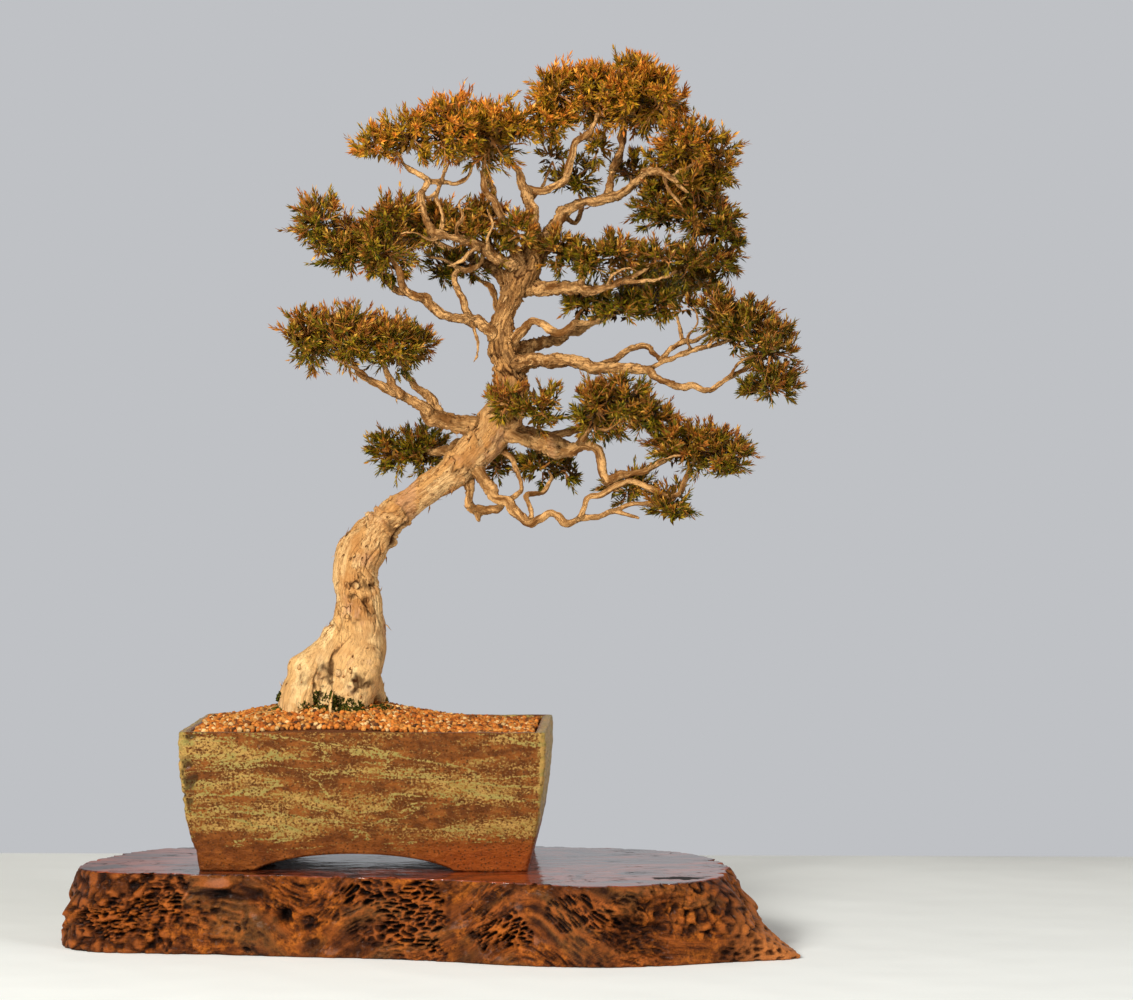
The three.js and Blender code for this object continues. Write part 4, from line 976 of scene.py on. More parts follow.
def stones():
    """Places, faces and tints of the loose stones: one in each cell of a jittered grid, a lumpy ball
    drawn out of round, turned at random and half sunk. None lies under the trunk."""
    draw = np.random.default_rng(gravel_seed)
    ball, faces = stone_ball()
    columns = np.arange(-gravel_half_width, gravel_half_width, stone_spacing)
    rows = np.arange(-gravel_half_depth, gravel_half_depth, 0.87 * stone_spacing)
    x, y = np.meshgrid(columns, rows)
    x = x + np.where(np.arange(len(rows)) % 2 == 0, 0, 0.5 * stone_spacing)[:, None]
    x = x.ravel() + draw.uniform(-0.3, 0.3, x.size) * stone_spacing
    y = y.ravel() + draw.uniform(-0.3, 0.3, y.size) * stone_spacing
    kept = (np.abs(x) < gravel_half_width - 2 * MM) & (np.abs(y) < gravel_half_depth - 2 * MM)
    from_trunk_x = (x - trunk_foot_x) / stoneless_half_width
    from_trunk_y = (y - trunk_foot_y) / stoneless_half_depth
    kept &= from_trunk_x**2 + from_trunk_y**2 > 1
    x, y = x[kept], y[kept]
    count = len(x)
    radius = draw.uniform(smallest_stone, largest_stone, count) * MM
    lumps = 1 + 0.34 * (soft_noise(ball[None] * 1.3 + draw.uniform(0, 90, (count, 1, 3)), 5) - 0.5)
    shape = ball[None] * lumps[..., None] * draw.uniform(0.72, 1.12, (count, 1, 3))
    shape = turned(shape, draw) * radius[:, None, None]
    z = mound_top(x, y) + draw.uniform(-0.2, 0.55, count) * radius
    points = shape + np.stack([x, y, z], -1)[:, None]
    tints = tones(
        (208, 126, 52), (216, 150, 74), (178, 98, 38), (238, 200, 138), (128, 80, 42), (222, 140, 62),
        (88, 58, 38),
    )
    chosen = draw.choice(len(tints), count, p=[0.27, 0.22, 0.17, 0.1, 0.1, 0.1, 0.04])
    tint = tints[chosen] * draw.uniform(0.75, 1.2, (count, 1))
    return points.reshape(-1, 3), repeated(faces, count, len(ball)), np.repeat(tint, len(ball), 0)


def gravel_body():
    """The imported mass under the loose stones: the mound drawn in to the pot's wall, closed below."""
    x, y = path[:, 0] * gravel_half_width, path[:, 1] * gravel_half_depth
    under = drawn_in(np.stack([x, y, np.full(len(x), body_low)], -1), np.array([0.1, 0.5, 1]))
    top = drawn_in(np.stack([x, y, 0 * x], -1), np.linspace(0.04, 1, 26)[::-1])
    top[..., 2] = mound_top(top[..., 0], top[..., 1]) - stones_over_body
    rings = np.concatenate([under, top])
    crest = mound_top(np.zeros(1), np.zeros(1))[0] - stones_over_body
    return closed_rings(body_low, rings, crest), ring_faces(len(rings), len(path))


def gravel_material():
    """Dry grit: each stone's own tint, darkened in a fine grain."""
    material, tree, surface = finish_named("fired_grit")
    share, grain = mottle_of(tree, scale=700.0, detail=3.0, low=0.35, high=0.7, most=0.5)
    tint = attribute(tree, "tint", "Color")
    fill_sockets(tree, surface, {
        "Base Color": blended(tree, share, tint, colour(150, 92, 50), "MULTIPLY"), "Roughness": 0.75,
        "Specular IOR Level": 0.12, "Normal": bumped(tree, grain, 0.0005),
    })
    return material


def point_tints(piece, name, tints):
    """Stores one linear colour for each point of a piece."""
    stored = piece.data.color_attributes.new(name, "FLOAT_COLOR", "POINT")
    full = np.concatenate([tints, np.ones((len(tints), 1))], -1)
    stored.data.foreach_set("color", full.astype(np.float32).ravel())


stone_points, stone_corners, stone_tints = stones()
body_points, (body_quads, body_fans) = gravel_body()
offset = len(body_points)
gravel = mesh_piece(
    "gravel_stones", np.concatenate([body_points, stone_points]), body_quads,
    np.concatenate([body_fans, stone_corners + offset]),
)
# The mass under the stones is tinted dark brown as painted shade, for the gaps between the stones.
body_shade_tints = np.tile(tones((96, 56, 30)), (offset, 1))
point_tints(gravel, "tint", np.concatenate([body_shade_tints, stone_tints]))
gravel.data.materials.append(gravel_material())
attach(gravel, "root")
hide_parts("gravel_top")


# Tree wood
# The trunk, its flared roots and every branch grew as one piece, so they are one skin: limbs along
# smooth curves, grown together, under papery bark that splits along the grain.

# Each limb is a run of places in millimetres with the radius there, from its root to its tip. The
# trunk comes first and its surface roots next.
limb_places = {
    "trunk": [
        (-36, 2, 172, 34), (-36, -1, 199, 38), (-34, -1, 220, 37), (-26, -1, 241, 32),
        (-18, -1, 262, 32), (-11, -2, 283, 30), (-11, -4, 304, 26), (-11, -5, 323, 24),
        (-13, -5, 340, 22), (-12, -4, 354, 22), (-6, -3, 368, 23), (3, 0, 382, 22), (16, 2, 396, 18),
        (32, 5, 409, 15), (51, 7, 423, 15), (70, 10, 437, 16), (86, 11, 449, 18), (99, 13, 462, 20),
        (111, 14, 477, 21), (122, 15, 494, 20), (131, 17, 511, 19), (133, 18, 526, 18),
        (130, 18, 544, 16), (125, 16, 560, 15), (124, 15, 576, 13), (127, 15, 592, 12.5),
        (133, 16, 608, 13), (140, 16, 623, 15), (148, 16, 639, 16), (153, 16, 654, 13),
        (155, 15, 668, 10), (153, 13, 684, 8), (150, 11, 699, 7), (147, 9, 713, 6), (141, 6, 726, 4.4),
        (134, 2, 735, 3.2),
    ],
    "left_root": [
        (-22, -5, 298, 14), (-31, -9, 284, 17), (-41, -12, 270, 18), (-56, -17, 253, 19),
        (-66, -20, 231, 21), (-70, -22, 200, 22),
    ],
    "right_root": [
        (-7, -12, 282, 17), (-7, -16, 263, 20), (-10, -19, 242, 21), (-15, -21, 222, 19),
        (-17, -21, 196, 19),
    ],
    "back_root": [(-23, 13, 272, 17), (-27, 27, 248, 16), (-31, 41, 222, 14), (-34, 53, 196, 12)],
    "back_right_root": [(-5, 10, 267, 13), (1, 20, 241, 11), (8, 30, 220, 9), (12, 41, 199, 8)],
    "back_left_root": [(-44, 9, 259, 13), (-62, 22, 237, 12), (-73, 32, 217, 11), (-79, 42, 199, 9)],
    "aerial_root": [(-29, -31, 254, 3), (-31, -47, 238, 2.8), (-33, -54, 224, 3), (-34, -57, 207, 3.4)],
    "low_left": [
        (115, 14, 482, 14), (92, 8, 488, 11), (73, 2, 492, 10), (58, -3, 497, 9), (43, -9, 506, 7.6),
        (29, -13, 516, 6.6), (16, -17, 521, 5.5), (3, -20, 527, 4.5), (-8, -22, 535, 3.8),
        (-20, -20, 552, 2.8),
    ],
    "low_left_inner": [
        (71, 2, 494, 6.7), (57, 9, 509, 6.2), (46, 13, 521, 5.2), (34, 17, 532, 4.3),
        (28, 12, 550, 3.2),
    ],
    "low_left_middle": [
        (31, -13, 514, 5.7), (22, -13, 526, 5.2), (17, -14, 537, 4.3), (12, -14, 552, 3),
    ],
    "low_back_left": [
        (109, 17, 475, 11), (88, 46, 469, 7.7), (64, 82, 463, 6.3), (44, 105, 460, 4.4),
        (22, 113, 459, 2.8),
    ],
    "mid_left": [
        (124, 15, 566, 11), (111, 11, 575, 8), (98, 5, 585, 7), (83, -2, 588, 6.5), (69, -7, 592, 6.2),
        (57, -12, 602, 6), (47, -17, 608, 6), (38, -20, 612, 5.7), (31, -24, 619, 5.1),
        (28, -27, 630, 4.3), (20, -20, 650, 3),
    ],
    "mid_left_outer": [
        (39, -19, 612, 5.1), (26, -15, 614, 4.9), (16, -11, 622, 4.4), (4, -8, 634, 3.8),
        (-14, -6, 650, 2.8),
    ],
    "mid_left_upright": [
        (96, 5, 586, 5.1), (89, 8, 598, 5), (83, 12, 614, 4.6), (79, 14, 628, 4.2), (83, 15, 637, 4),
        (76, 14, 642, 3.4), (64, 12, 645, 3), (53, 4, 647, 2.4),
    ],
    "mid_left_hook": [
        (82, 15, 637, 3.8), (93, 18, 635, 4), (103, 20, 642, 3.8), (106, 16, 656, 3.2),
        (108, 8, 674, 2.4),
    ],
    "mid_left_dead": [
        (95, 2, 587, 3), (98, -1, 576, 2.6), (102, -3, 565, 2.3), (101, -4, 553, 2), (97, -4, 545, 1.4),
    ],
    "inner_left": [
        (124, 17, 587, 6.7), (119, 25, 604, 4.8), (114, 33, 616, 4.4), (106, 41, 623, 3.8),
        (92, 50, 632, 2.8),
    ],
    "high_left": [
        (145, 14, 637, 13), (130, 4, 642, 9), (117, -7, 647, 7.6), (105, -15, 655, 6.6),
        (88, -24, 661, 5.7), (72, -29, 664, 5.3), (59, -32, 670, 5.1), (53, -34, 681, 5),
        (52, -34, 692, 4.8), (50, -32, 702, 4.5), (54, -29, 711, 4.2), (55, -27, 718, 4),
        (46, -28, 724, 3.8), (37, -30, 731, 3.4), (26, -33, 744, 2.6),
    ],
    "high_left_loop": [
        (70, -28, 665, 3.2), (69, -27, 686, 3), (65, -25, 701, 2.8), (67, -22, 713, 3),
        (74, -20, 732, 2.4),
    ],
    "high_left_rung": [(50, -32, 700, 3.4), (59, -28, 702, 3), (65, -24, 707, 2.8)],
    "high_left_fork": [
        (55, -27, 717, 4), (67, -21, 716, 3.4), (79, -15, 716, 3.2), (91, -11, 721, 3),
        (100, -10, 737, 2.4),
    ],
    "high_left_inner": [
        (144, 8, 642, 8.6), (133, -2, 662, 5.7), (126, -7, 679, 4.9), (120, -8, 696, 4.9),
        (112, -8, 707, 4.7), (108, -9, 720, 4), (110, -12, 738, 3),
    ],
    "centre_front_twig": [(135, -1, 661, 4.4), (139, -12, 662, 3.4), (141, -26, 668, 2.6)],
    "apex_left": [
        (148, 10, 711, 6.1), (164, 7, 711, 5.3), (178, 5, 716, 5.3), (187, 3, 725, 5.3),
        (190, 1, 738, 5.1), (194, -1, 750, 4.9), (203, -3, 759, 4.6), (212, -2, 770, 3.8),
        (216, 4, 784, 2.8),
    ],
    "high_right": [
        (148, 20, 637, 13), (164, 26, 658, 11), (175, 31, 677, 9), (185, 33, 691, 7.5),
        (198, 33, 699, 6.5), (214, 32, 702, 6.3), (229, 30, 703, 5.9), (241, 28, 708, 5.7),
        (251, 21, 717, 5.4), (258, 12, 725, 5.2), (268, -6, 728, 5), (279, -24, 722, 4.6),
        (290, -36, 714, 3.6), (302, -38, 704, 2.4),
    ],
    "apex_right": [
        (220, 31, 702, 4.8), (227, 30, 713, 4.8), (229, 28, 726, 4.4), (232, 26, 739, 4.4),
        (237, 24, 751, 4.2), (236, 23, 761, 3.8), (240, 20, 774, 3.1), (246, 16, 790, 2.4),
    ],
    "high_right_back": [
        (185, 35, 685, 4.8), (194, 49, 680, 3.7), (199, 59, 694, 3.3), (196, 66, 712, 2.6),
    ],
    "small_back_left_twig": [
        (150, 12, 700, 4), (160, 24, 712, 3), (168, 35, 728, 2.6), (170, 40, 738, 2.2),
    ],
    "small_under_top_twig": [(204, -2, 760, 3.4), (212, 8, 756, 2.6), (216, 16, 753, 2.2)],
    "small_back_right_twig": [(242, 29, 709, 4), (246, 42, 718, 3), (247, 52, 727, 2.4)],
    "mid_right": [
        (143, 18, 620, 13), (162, 13, 616, 9.5), (180, 8, 618, 8.2), (196, 1, 615, 7.6),
        (210, -5, 614, 6.1), (224, -12, 617, 4.7), (238, -18, 622, 4), (252, -20, 628, 3.2),
        (266, -19, 638, 2.4),
    ],
    "mid_right_upright": [(196, 0, 614, 5), (203, -5, 626, 3.8), (209, -8, 643, 2.8)],
    "mid_right_fork": [
        (238, -18, 622, 3.4), (262, -26, 622, 2.8), (284, -24, 628, 2.6), (300, -16, 638, 2.2),
    ],
    "mid_right_low": [
        (130, 14, 563, 7.6), (141, 6, 574, 6.3), (152, -2, 583, 5.9), (164, -8, 581, 5.7),
        (173, -11, 574, 5.5), (182, -12, 572, 5.7), (189, -9, 579, 5.5), (194, -3, 584, 4.4),
        (206, 8, 584, 3.6), (222, 20, 590, 2.6),
    ],
    "mid_right_low_back": [(192, -4, 582, 4.2), (196, 10, 590, 3.2), (202, 24, 599, 2.4)],
    "long_right": [
        (132, 16, 543, 14), (151, 8, 546, 9.3), (166, -2, 549, 8.7), (182, -9, 548, 8.1),
        (199, -18, 545, 7.7), (218, -26, 541, 7.7), (235, -34, 539, 7.5), (251, -40, 539, 6.4),
        (264, -45, 537, 5.6), (272, -48, 531, 5), (283, -51, 527, 4.7), (296, -55, 523, 4.5),
        (307, -58, 523, 4.3), (315, -62, 519, 4.2), (325, -64, 522, 3.9), (337, -67, 529, 3.5),
        (352, -62, 538, 3), (370, -56, 550, 2.4),
    ],
    "long_right_upper": [
        (261, -43, 538, 5.1), (275, -40, 544, 4.3), (290, -37, 550, 4), (304, -35, 556, 3.8),
        (320, -34, 560, 3.4), (336, -36, 566, 2.9), (352, -40, 574, 2.4),
    ],
    "long_right_bow": [
        (221, -27, 543, 5.1), (234, -20, 551, 4.6), (247, -13, 558, 4.4), (261, -11, 562, 4.3),
        (269, -17, 555, 4.1), (276, -33, 547, 3.8),
    ],
    "long_right_rise": [
        (275, -37, 546, 3.9), (285, -28, 558, 3.7), (296, -22, 564, 3.7), (310, -20, 566, 3),
        (324, -27, 578, 2.5),
    ],
    "long_right_twig": [
        (296, -22, 563, 3.2), (295, -19, 576, 3), (291, -16, 590, 2.6), (282, 4, 600, 2.2),
    ],
    "low_right": [
        (120, 12, 484, 14), (142, 1, 476, 9.5), (161, -8, 470, 10.4), (177, -14, 466, 11.8),
        (192, -21, 465, 9), (206, -27, 467, 7.2), (217, -32, 459, 6.2), (220, -35, 447, 5.8),
        (223, -37, 434, 6), (234, -40, 438, 5.1), (249, -43, 442, 4.5), (264, -47, 446, 4.1),
        (277, -52, 452, 3.4), (290, -57, 461, 2.6),
    ],
    "low_right_front": [
        (126, 7, 488, 9.5), (136, -12, 488, 6), (142, -30, 490, 4), (146, -41, 496, 3.2),
        (149, -46, 505, 2.6),
    ],
    "low_right_up": [
        (198, -24, 466, 5.7), (205, -36, 477, 4.3), (212, -48, 487, 3.4), (218, -56, 496, 2.6),
    ],
    "low_right_under": [(223, -37, 434, 4.4), (232, -34, 427, 3.2), (242, -28, 425, 2.4)],
    "lowest_right": [
        (98, 11, 450, 12.4), (108, -3, 435, 7.6), (119, -13, 423, 6.8), (131, -21, 413, 6.4),
        (143, -28, 402, 5.8), (155, -34, 393, 5.5), (163, -38, 398, 4.9), (169, -39, 405, 4.6),
        (177, -41, 404, 4.6), (185, -43, 395, 4.6), (194, -45, 397, 4.3), (206, -46, 400, 4),
        (218, -48, 401, 3.7), (230, -49, 407, 3.6), (244, -49, 412, 3.2), (260, -50, 413, 2.8),
        (280, -50, 411, 2.4),
    ],
    "lowest_right_fork": [(230, -49, 406, 3.2), (243, -51, 404, 2.8), (256, -53, 400, 2.2)],
    "lowest_right_rise": [
        (199, -46, 398, 3.9), (204, -49, 409, 3.6), (209, -50, 419, 3.6), (222, -51, 423, 3.6),
        (232, -51, 429, 3.7), (245, -49, 435, 3.9), (258, -48, 432, 3.7), (270, -48, 425, 3.6),
        (281, -48, 421, 3.6), (292, -50, 423, 3.6), (297, -54, 432, 3.4), (302, -57, 446, 3),
        (308, -60, 457, 2.4),
    ],
    "zigzag": [
        (155, -34, 394, 3.9), (153, -29, 407, 3.5), (148, -22, 418, 3.4), (153, -16, 422, 3.4),
        (162, -7, 422, 3.2), (167, 4, 429, 2.9), (172, 18, 437, 2.7), (168, 26, 444, 2.2),
    ],
    "inner_loop": [
        (130, -21, 414, 4.3), (141, -15, 421, 3.7), (145, -8, 429, 3.4), (142, 0, 440, 3.2),
        (135, 8, 452, 3.2), (122, 15, 464, 4),
    ],
    "dead_stub": [
        (92, 8, 440, 9), (93, 13, 420, 6.7), (96, 15, 409, 6.1), (109, 13, 405, 5.7),
        (122, 9, 407, 4.8), (126, 5, 414, 3.4),
    ],
    "dead_stub_spur": [(97, 14, 409, 4.8), (103, 13, 395, 2.3)],
    "back_right": [
        (130, 20, 557, 11.5), (154, 56, 563, 8.2), (183, 89, 574, 6.8), (214, 114, 588, 5.9),
        (240, 126, 604, 4.4), (252, 129, 616, 3),
    ],
    "back_left": [
        (135, 20, 614, 11.5), (117, 53, 635, 7.7), (88, 84, 651, 6.2), (55, 106, 664, 5),
        (24, 122, 671, 3.4),
    ],
    "back_low": [
        (122, 21, 488, 13.4), (144, 56, 480, 7.7), (166, 83, 476, 5.8), (190, 101, 480, 4.6),
        (212, 110, 491, 3),
    ],
    "back_low_twig": [(138, 48, 481, 5), (126, 50, 468, 3), (120, 49, 456, 2.4)],
    "back_top": [
        (229, 28, 729, 4.4), (238, 50, 746, 3.7), (240, 70, 766, 3.3), (237, 84, 786, 3),
        (233, 92, 799, 2.4),
    ],
    "back_high_left": [
        (123, -7, 689, 4.7), (114, 23, 712, 4), (106, 48, 736, 3.5), (100, 64, 756, 2.6),
    ],
    "back_high_right": [(256, 25, 721, 4.2), (271, 47, 717, 3.7), (290, 68, 715, 3)],
    "right_front_spray": [
        (285, -31, 718, 3), (294, -34, 726, 2.6), (304, -36, 730, 2.2), (314, -34, 740, 1.8),
    ],
    "right_front_low": [(279, -22, 722, 3), (284, -28, 708, 2.4), (296, -30, 692, 1.8)],
    "centre_left_rise": [
        (88, -24, 661, 3.4), (84, -34, 672, 3), (90, -36, 684, 2.6), (86, -34, 694, 2),
        (94, -32, 704, 1.6),
    ],
    "centre_left_low": [
        (104, -16, 655, 3.6), (96, -30, 650, 3), (86, -32, 640, 2.6), (74, -34, 636, 2),
    ],
    "centre_left_tip": [
        (72, -29, 664, 3.2), (58, -36, 662, 2.8), (44, -38, 668, 2.2), (30, -38, 666, 1.6),
    ],
    "centre_left_top": [
        (117, -8, 648, 3.6), (112, -28, 662, 2.8), (118, -32, 676, 2.4), (112, -30, 690, 1.8),
    ],
    "far_right_twig": [
        (304, -35, 556, 3), (302, -38, 570, 2.4), (310, -36, 584, 2), (306, -30, 600, 1.6),
    ],
    "far_right_fork": [(320, -35, 561, 2.8), (330, -46, 568, 2.2), (344, -54, 566, 1.8)],
    "far_right_inner": [(340, -67, 532, 3), (350, -72, 546, 2.4), (364, -76, 552, 1.8)],
    "low_front_fork": [
        (212, -48, 487, 3), (224, -66, 482, 2.6), (238, -76, 490, 2.2), (250, -80, 488, 1.8),
    ],
    "low_front_spray": [
        (264, -47, 446, 3), (272, -66, 450, 2.6), (284, -78, 458, 2), (298, -82, 458, 1.6),
    ],
    "band_front_twig": [
        (224, -12, 617, 3.2), (230, -28, 628, 2.6), (244, -32, 634, 2), (256, -34, 630, 1.6),
    ],
    "low_left_twig": [
        (3, -20, 527, 3.2), (-8, -34, 540, 2.6), (-22, -42, 544, 2), (-34, -44, 552, 1.6),
    ],
    "hanging_rootlet": [
        (-33, -36, 240, 2), (-33, -43, 231, 2.4), (-32, -48, 221, 2.2), (-31, -50, 208, 2.2),
    ],
}

limb_step = 2.2
limbs_apart = 400
thin_below = 8
thick_above = 16
tube_facet = 3.2
wood_voxel = 1.15
wood_faces = 172000
surface_roots = 5
trunk_foot_steps = 40


def smooth_run(places, order):
    """A limb's middle line and radius at even steps: a curve through its places whose slope at each
    is that between its neighbours. Thin limbs wander off it and swell at their knots by noise."""
    places = np.array(places, float)
    ends = np.concatenate([[2 * places[0] - places[1]], places, [2 * places[-1] - places[-2]]])
    parts = []
    for index in range(1, len(ends) - 2):
        before, first, second, after = ends[index - 1:index + 3]
        length = np.linalg.norm(second[:3] - first[:3])
        part = np.linspace(0, 1, max(2, round(length / limb_step)), endpoint=False)[:, None]
        parts.append(smooth_between(before, first, second, after, part))
    run = np.concatenate([*parts, places[-1:]])
    thin = 1 - eased(run[:, 3], thin_below, thick_above)
    settled = np.minimum(np.arange(len(run)), np.arange(len(run))[::-1]) / 5
    freely = (thin * np.clip(settled, 0, 1))[:, None]
    reach = np.arange(len(run)) * limb_step + 97.3 * order
    wander = np.stack([
        np.stack([reach / 13, 0 * reach + axis, 0 * reach], -1) for axis in range(3)
    ])
    wander = (layered_noise(wander, 2, 301) - 0.5).T
    run[:, :3] += freely * wander * np.clip(run[:, 3:] * 1.1, 3.4, 7)
    knots = layered_noise(np.stack([reach / 10, 0 * reach + 7, 0 * reach], -1), 3, 307) - 0.5
    run[:, 3] *= 0.95 - thin * 0.17 + thin * 0.4 * knots
    return run


def carried_frames(middles):
    """A pair of directions across a limb at each step, carried along it without twisting."""
    along = np.gradient(middles, axis=0)
    along /= np.linalg.norm(along, axis=1, keepdims=True)
    across = np.zeros_like(along)
    current = np.array([0.0, 1.0, 0.0]) if abs(along[0, 1]) < 0.9 else np.array([1.0, 0.0, 0.0])
    for step, direction in enumerate(along):
        current = current - direction * current.dot(direction)
        current /= np.linalg.norm(current)
        across[step] = current
    return along, across, np.cross(along, across)


class Wood:
    """Every limb's steps in one table: middles, radii, directions and how far along each lies. The
    limbs' lengths are set apart, so that no two share a pattern."""

    def __init__(self, runs):
        self.runs = [smooth_run(places, order) for order, places in enumerate(runs)]
        frames = [carried_frames(run[:, :3]) for run in self.runs]
        self.middles = np.concatenate([run[:, :3] for run in self.runs])
        self.radii = np.concatenate([run[:, 3] for run in self.runs])
        self.along, self.across, self.beside = (np.concatenate(part) for part in zip(*frames))
        reached = []
        for index, run in enumerate(self.runs):
            steps = np.linalg.norm(np.diff(run[:, :3], axis=0), axis=1)
            reached.append(np.concatenate([[0], np.cumsum(steps)]) + limbs_apart * index)
        self.reached = np.concatenate(reached)

    def nearest(self, points):
        """For each point, the step of wood whose bark is nearest: its distance less its radius."""
        found = np.empty(len(points), int)
        squares = (self.middles**2).sum(1)
        batch = 4096
        for start in range(0, len(points), batch):
            part = points[start:start + batch]
            gap = (part**2).sum(1)[:, None] + squares - 2 * part @ self.middles.T
            found[start:start + batch] = (np.sqrt(np.maximum(gap, 0)) - self.radii).argmin(1)
        return found

    def grain(self, points, step):
        """Places in the straightened limb: two across it and one along it, in millimetres."""
        away = points - self.middles[step]
        return np.stack([
            (away * self.across[step]).sum(1), (away * self.beside[step]).sum(1),
            (away * self.along[step]).sum(1) + self.reached[step],
        ], -1)


wood = Wood(limb_places.values())


def limb_tubes():
    """One closed tube for each limb: rings of points round its middle line, with rounded ends."""
    points, quads, fans, used, start = [], [], [], 0, 0
    for run in wood.runs:
        rows = slice(start, start + len(run))
        start += len(run)
        sides = int(np.clip(2 * np.pi * run[:, 3].max() / tube_facet, 8, 72))
        angle = np.linspace(0, 2 * np.pi, sides, endpoint=False)
        radius = run[:, 3] * (1 - 0.35 * (np.arange(len(run)) == len(run) - 1))
        across = wood.across[rows, None] * np.cos(angle)[None, :, None]
        beside = wood.beside[rows, None] * np.sin(angle)[None, :, None]
        rings = run[:, None, :3] + (across + beside) * radius[:, None, None]
        first, last = run[0, :3], run[-1, :3] + wood.along[rows][-1] * 0.5 * run[-1, 3]
        tube = np.concatenate([[first], rings.reshape(-1, 3), [last]])
        tube_quads, tube_fans = ring_faces(len(run), sides)
        points.append(tube)
        quads.append(tube_quads + used)
        fans.append(tube_fans + used)
        used += len(tube)
    return np.concatenate(points) * MM, np.concatenate(quads), np.concatenate(fans)


def mesh_arrays(mesh):
    """A mesh's points, the unit normals at them, and its edges."""
    points = np.zeros(3 * len(mesh.vertices), np.float32)
    mesh.vertices.foreach_get("co", points)
    normals = np.zeros(3 * len(mesh.vertices), np.float32)
    mesh.vertex_normals.foreach_get("vector", normals)
    edges = np.zeros(2 * len(mesh.edges), np.int32)
    mesh.edges.foreach_get("vertices", edges)
    points, normals = (rows.reshape(-1, 3).astype(float) for rows in (points, normals))
    return points, normals, edges.reshape(-1, 2)


def relaxed(points, edges, rounds, share):
    """Moves each point part of the way to the middle of its neighbours, several times over."""
    ends = np.concatenate([edges, edges[:, ::-1]])
    count = np.bincount(ends[:, 0], minlength=len(points))
    for _ in range(rounds):
        middle = np.stack([
            np.bincount(ends[:, 0], points[ends[:, 1], axis], len(points)) / count for axis in range(3)
        ], -1)
        points = points + share * (middle - points)
    return points


# Lumps and hollows of the wood: a place in millimetres, its radius and its depth, which is below 0 for
# a lump. The hollows are painted darker as their shade.
bark_hollows = [
    (98, -7, 474, 5, 2.2), (104, -6, 468, 4, 2), (131, -6, 486, 3, 1.6), (136, -2, 520, 4, 2),
    (44, -11, 424, 3, 1.2), (85, -6, 440, 5, 1.5), (140, -2, 480, 5, 3), (-69, -22, 262, 8, -4),
    (-57, -33, 257, 6, -2.5), (3, -24, 292, 7, -2.5), (158, -16, 484, 6, -2.2), (176, -24, 476, 5, -2),
    (172, -26, 462, 6, -2), (153, -10, 478, 5, -2), (204, -30, 474, 5, -2), (186, -26, 470, 4, 2.5),
    (96, -14, 470, 7, -2.5), (118, -6, 500, 6, -2), (126, -2, 470, 5, 2.2), (179, -26, 467, 3.2, 4),
    (187, -22, 474, 3, 2.5), (168, -20, 459, 3, 2.5), (191, -26, 460, 4, -2),
    (171, -23, 474, 3.5, -2.2), (185, -28, 462, 2.4, -1.5), (166, -18, 468, 3.4, 2),
    (6, -18, 372, 8, -1.8), (24, -12, 402, 8, -1.6), (150, 2, 640, 6, 2.2), (139, 2, 622, 5, -2.2),
    (-30, -34, 300, 7, -1.8), (10, -16, 330, 6, -1.2), (-8, -30, 262, 9, -2), (2, -30, 246, 7, -1.6),
]
# Marks on the trunk's front, as x, z, half width, half height and depth: three knots and small dents.
# The knots are painted brown, and the dents darker as their shade.
bark_marks = [
    (-16.5, 325, 4.8, 2.6, 1.4), (-1.6, 322, 4, 4, 1.4), (3, 336, 4.6, 2, 1.2), (-50, 240, 2, 4, 1.2),
    (-10, 303, 3.4, 1.4, 1), (-14, 246, 4.5, 1.6, 0.8), (-3, 252, 2, 3, 0.8),
]
# Clefts on the trunk's front, as a run of x, z, half width and depth: the one that widens between the
# two front roots, the slit under the bend, and long open cracks. All are painted dark as their shade.
bark_clefts = [
    [(-10, 297, 0.6, 0.8), (-19, 286, 0.8, 1.4), (-27, 280, 1.1, 2.2), (-34, 269, 1.5, 3),
     (-36, 258, 1.7, 3), (-35, 245, 1.2, 2.4), (-34, 230, 1.4, 2.6), (-34, 214, 2, 4)],
    [(-46, 262, 0.6, 1), (-50, 250, 1, 2), (-52, 236, 1, 2), (-50, 222, 1.4, 3)],
    [(-14, 262, 0.5, 0.8), (-16, 250, 0.9, 1.6), (-12, 238, 0.9, 1.6), (-14, 224, 0.8, 1.4)],
    [(37, 398, 1.2, 1.5), (29, 388, 2.4, 4), (22.5, 377, 3, 5), (19.5, 366, 2.8, 5), (17, 357, 1.5, 3)],
    [(-30, 309, 0.6, 1.2), (-26, 300, 1, 2), (-30, 288, 0.8, 1.4)],
    [(4, 318, 0.5, 0.8), (7, 300, 0.9, 1.4), (3, 284, 0.6, 1)],
    [(-22, 352, 0.6, 1), (-17, 366, 0.9, 1.5), (-9, 378, 0.9, 1.5), (2, 388, 0.6, 1)],
    [(-6, 344, 0.6, 1), (-1, 358, 1, 1.6), (8, 370, 0.9, 1.5), (14, 384, 0.6, 1)],
    [(26, 404, 0.6, 1), (38, 414, 0.9, 1.5), (52, 421, 0.9, 1.5), (64, 431, 0.6, 1)],
    [(50, 434, 0.6, 1), (66, 446, 0.9, 1.5), (80, 460, 0.9, 1.5), (92, 474, 0.7, 1.2)],
]
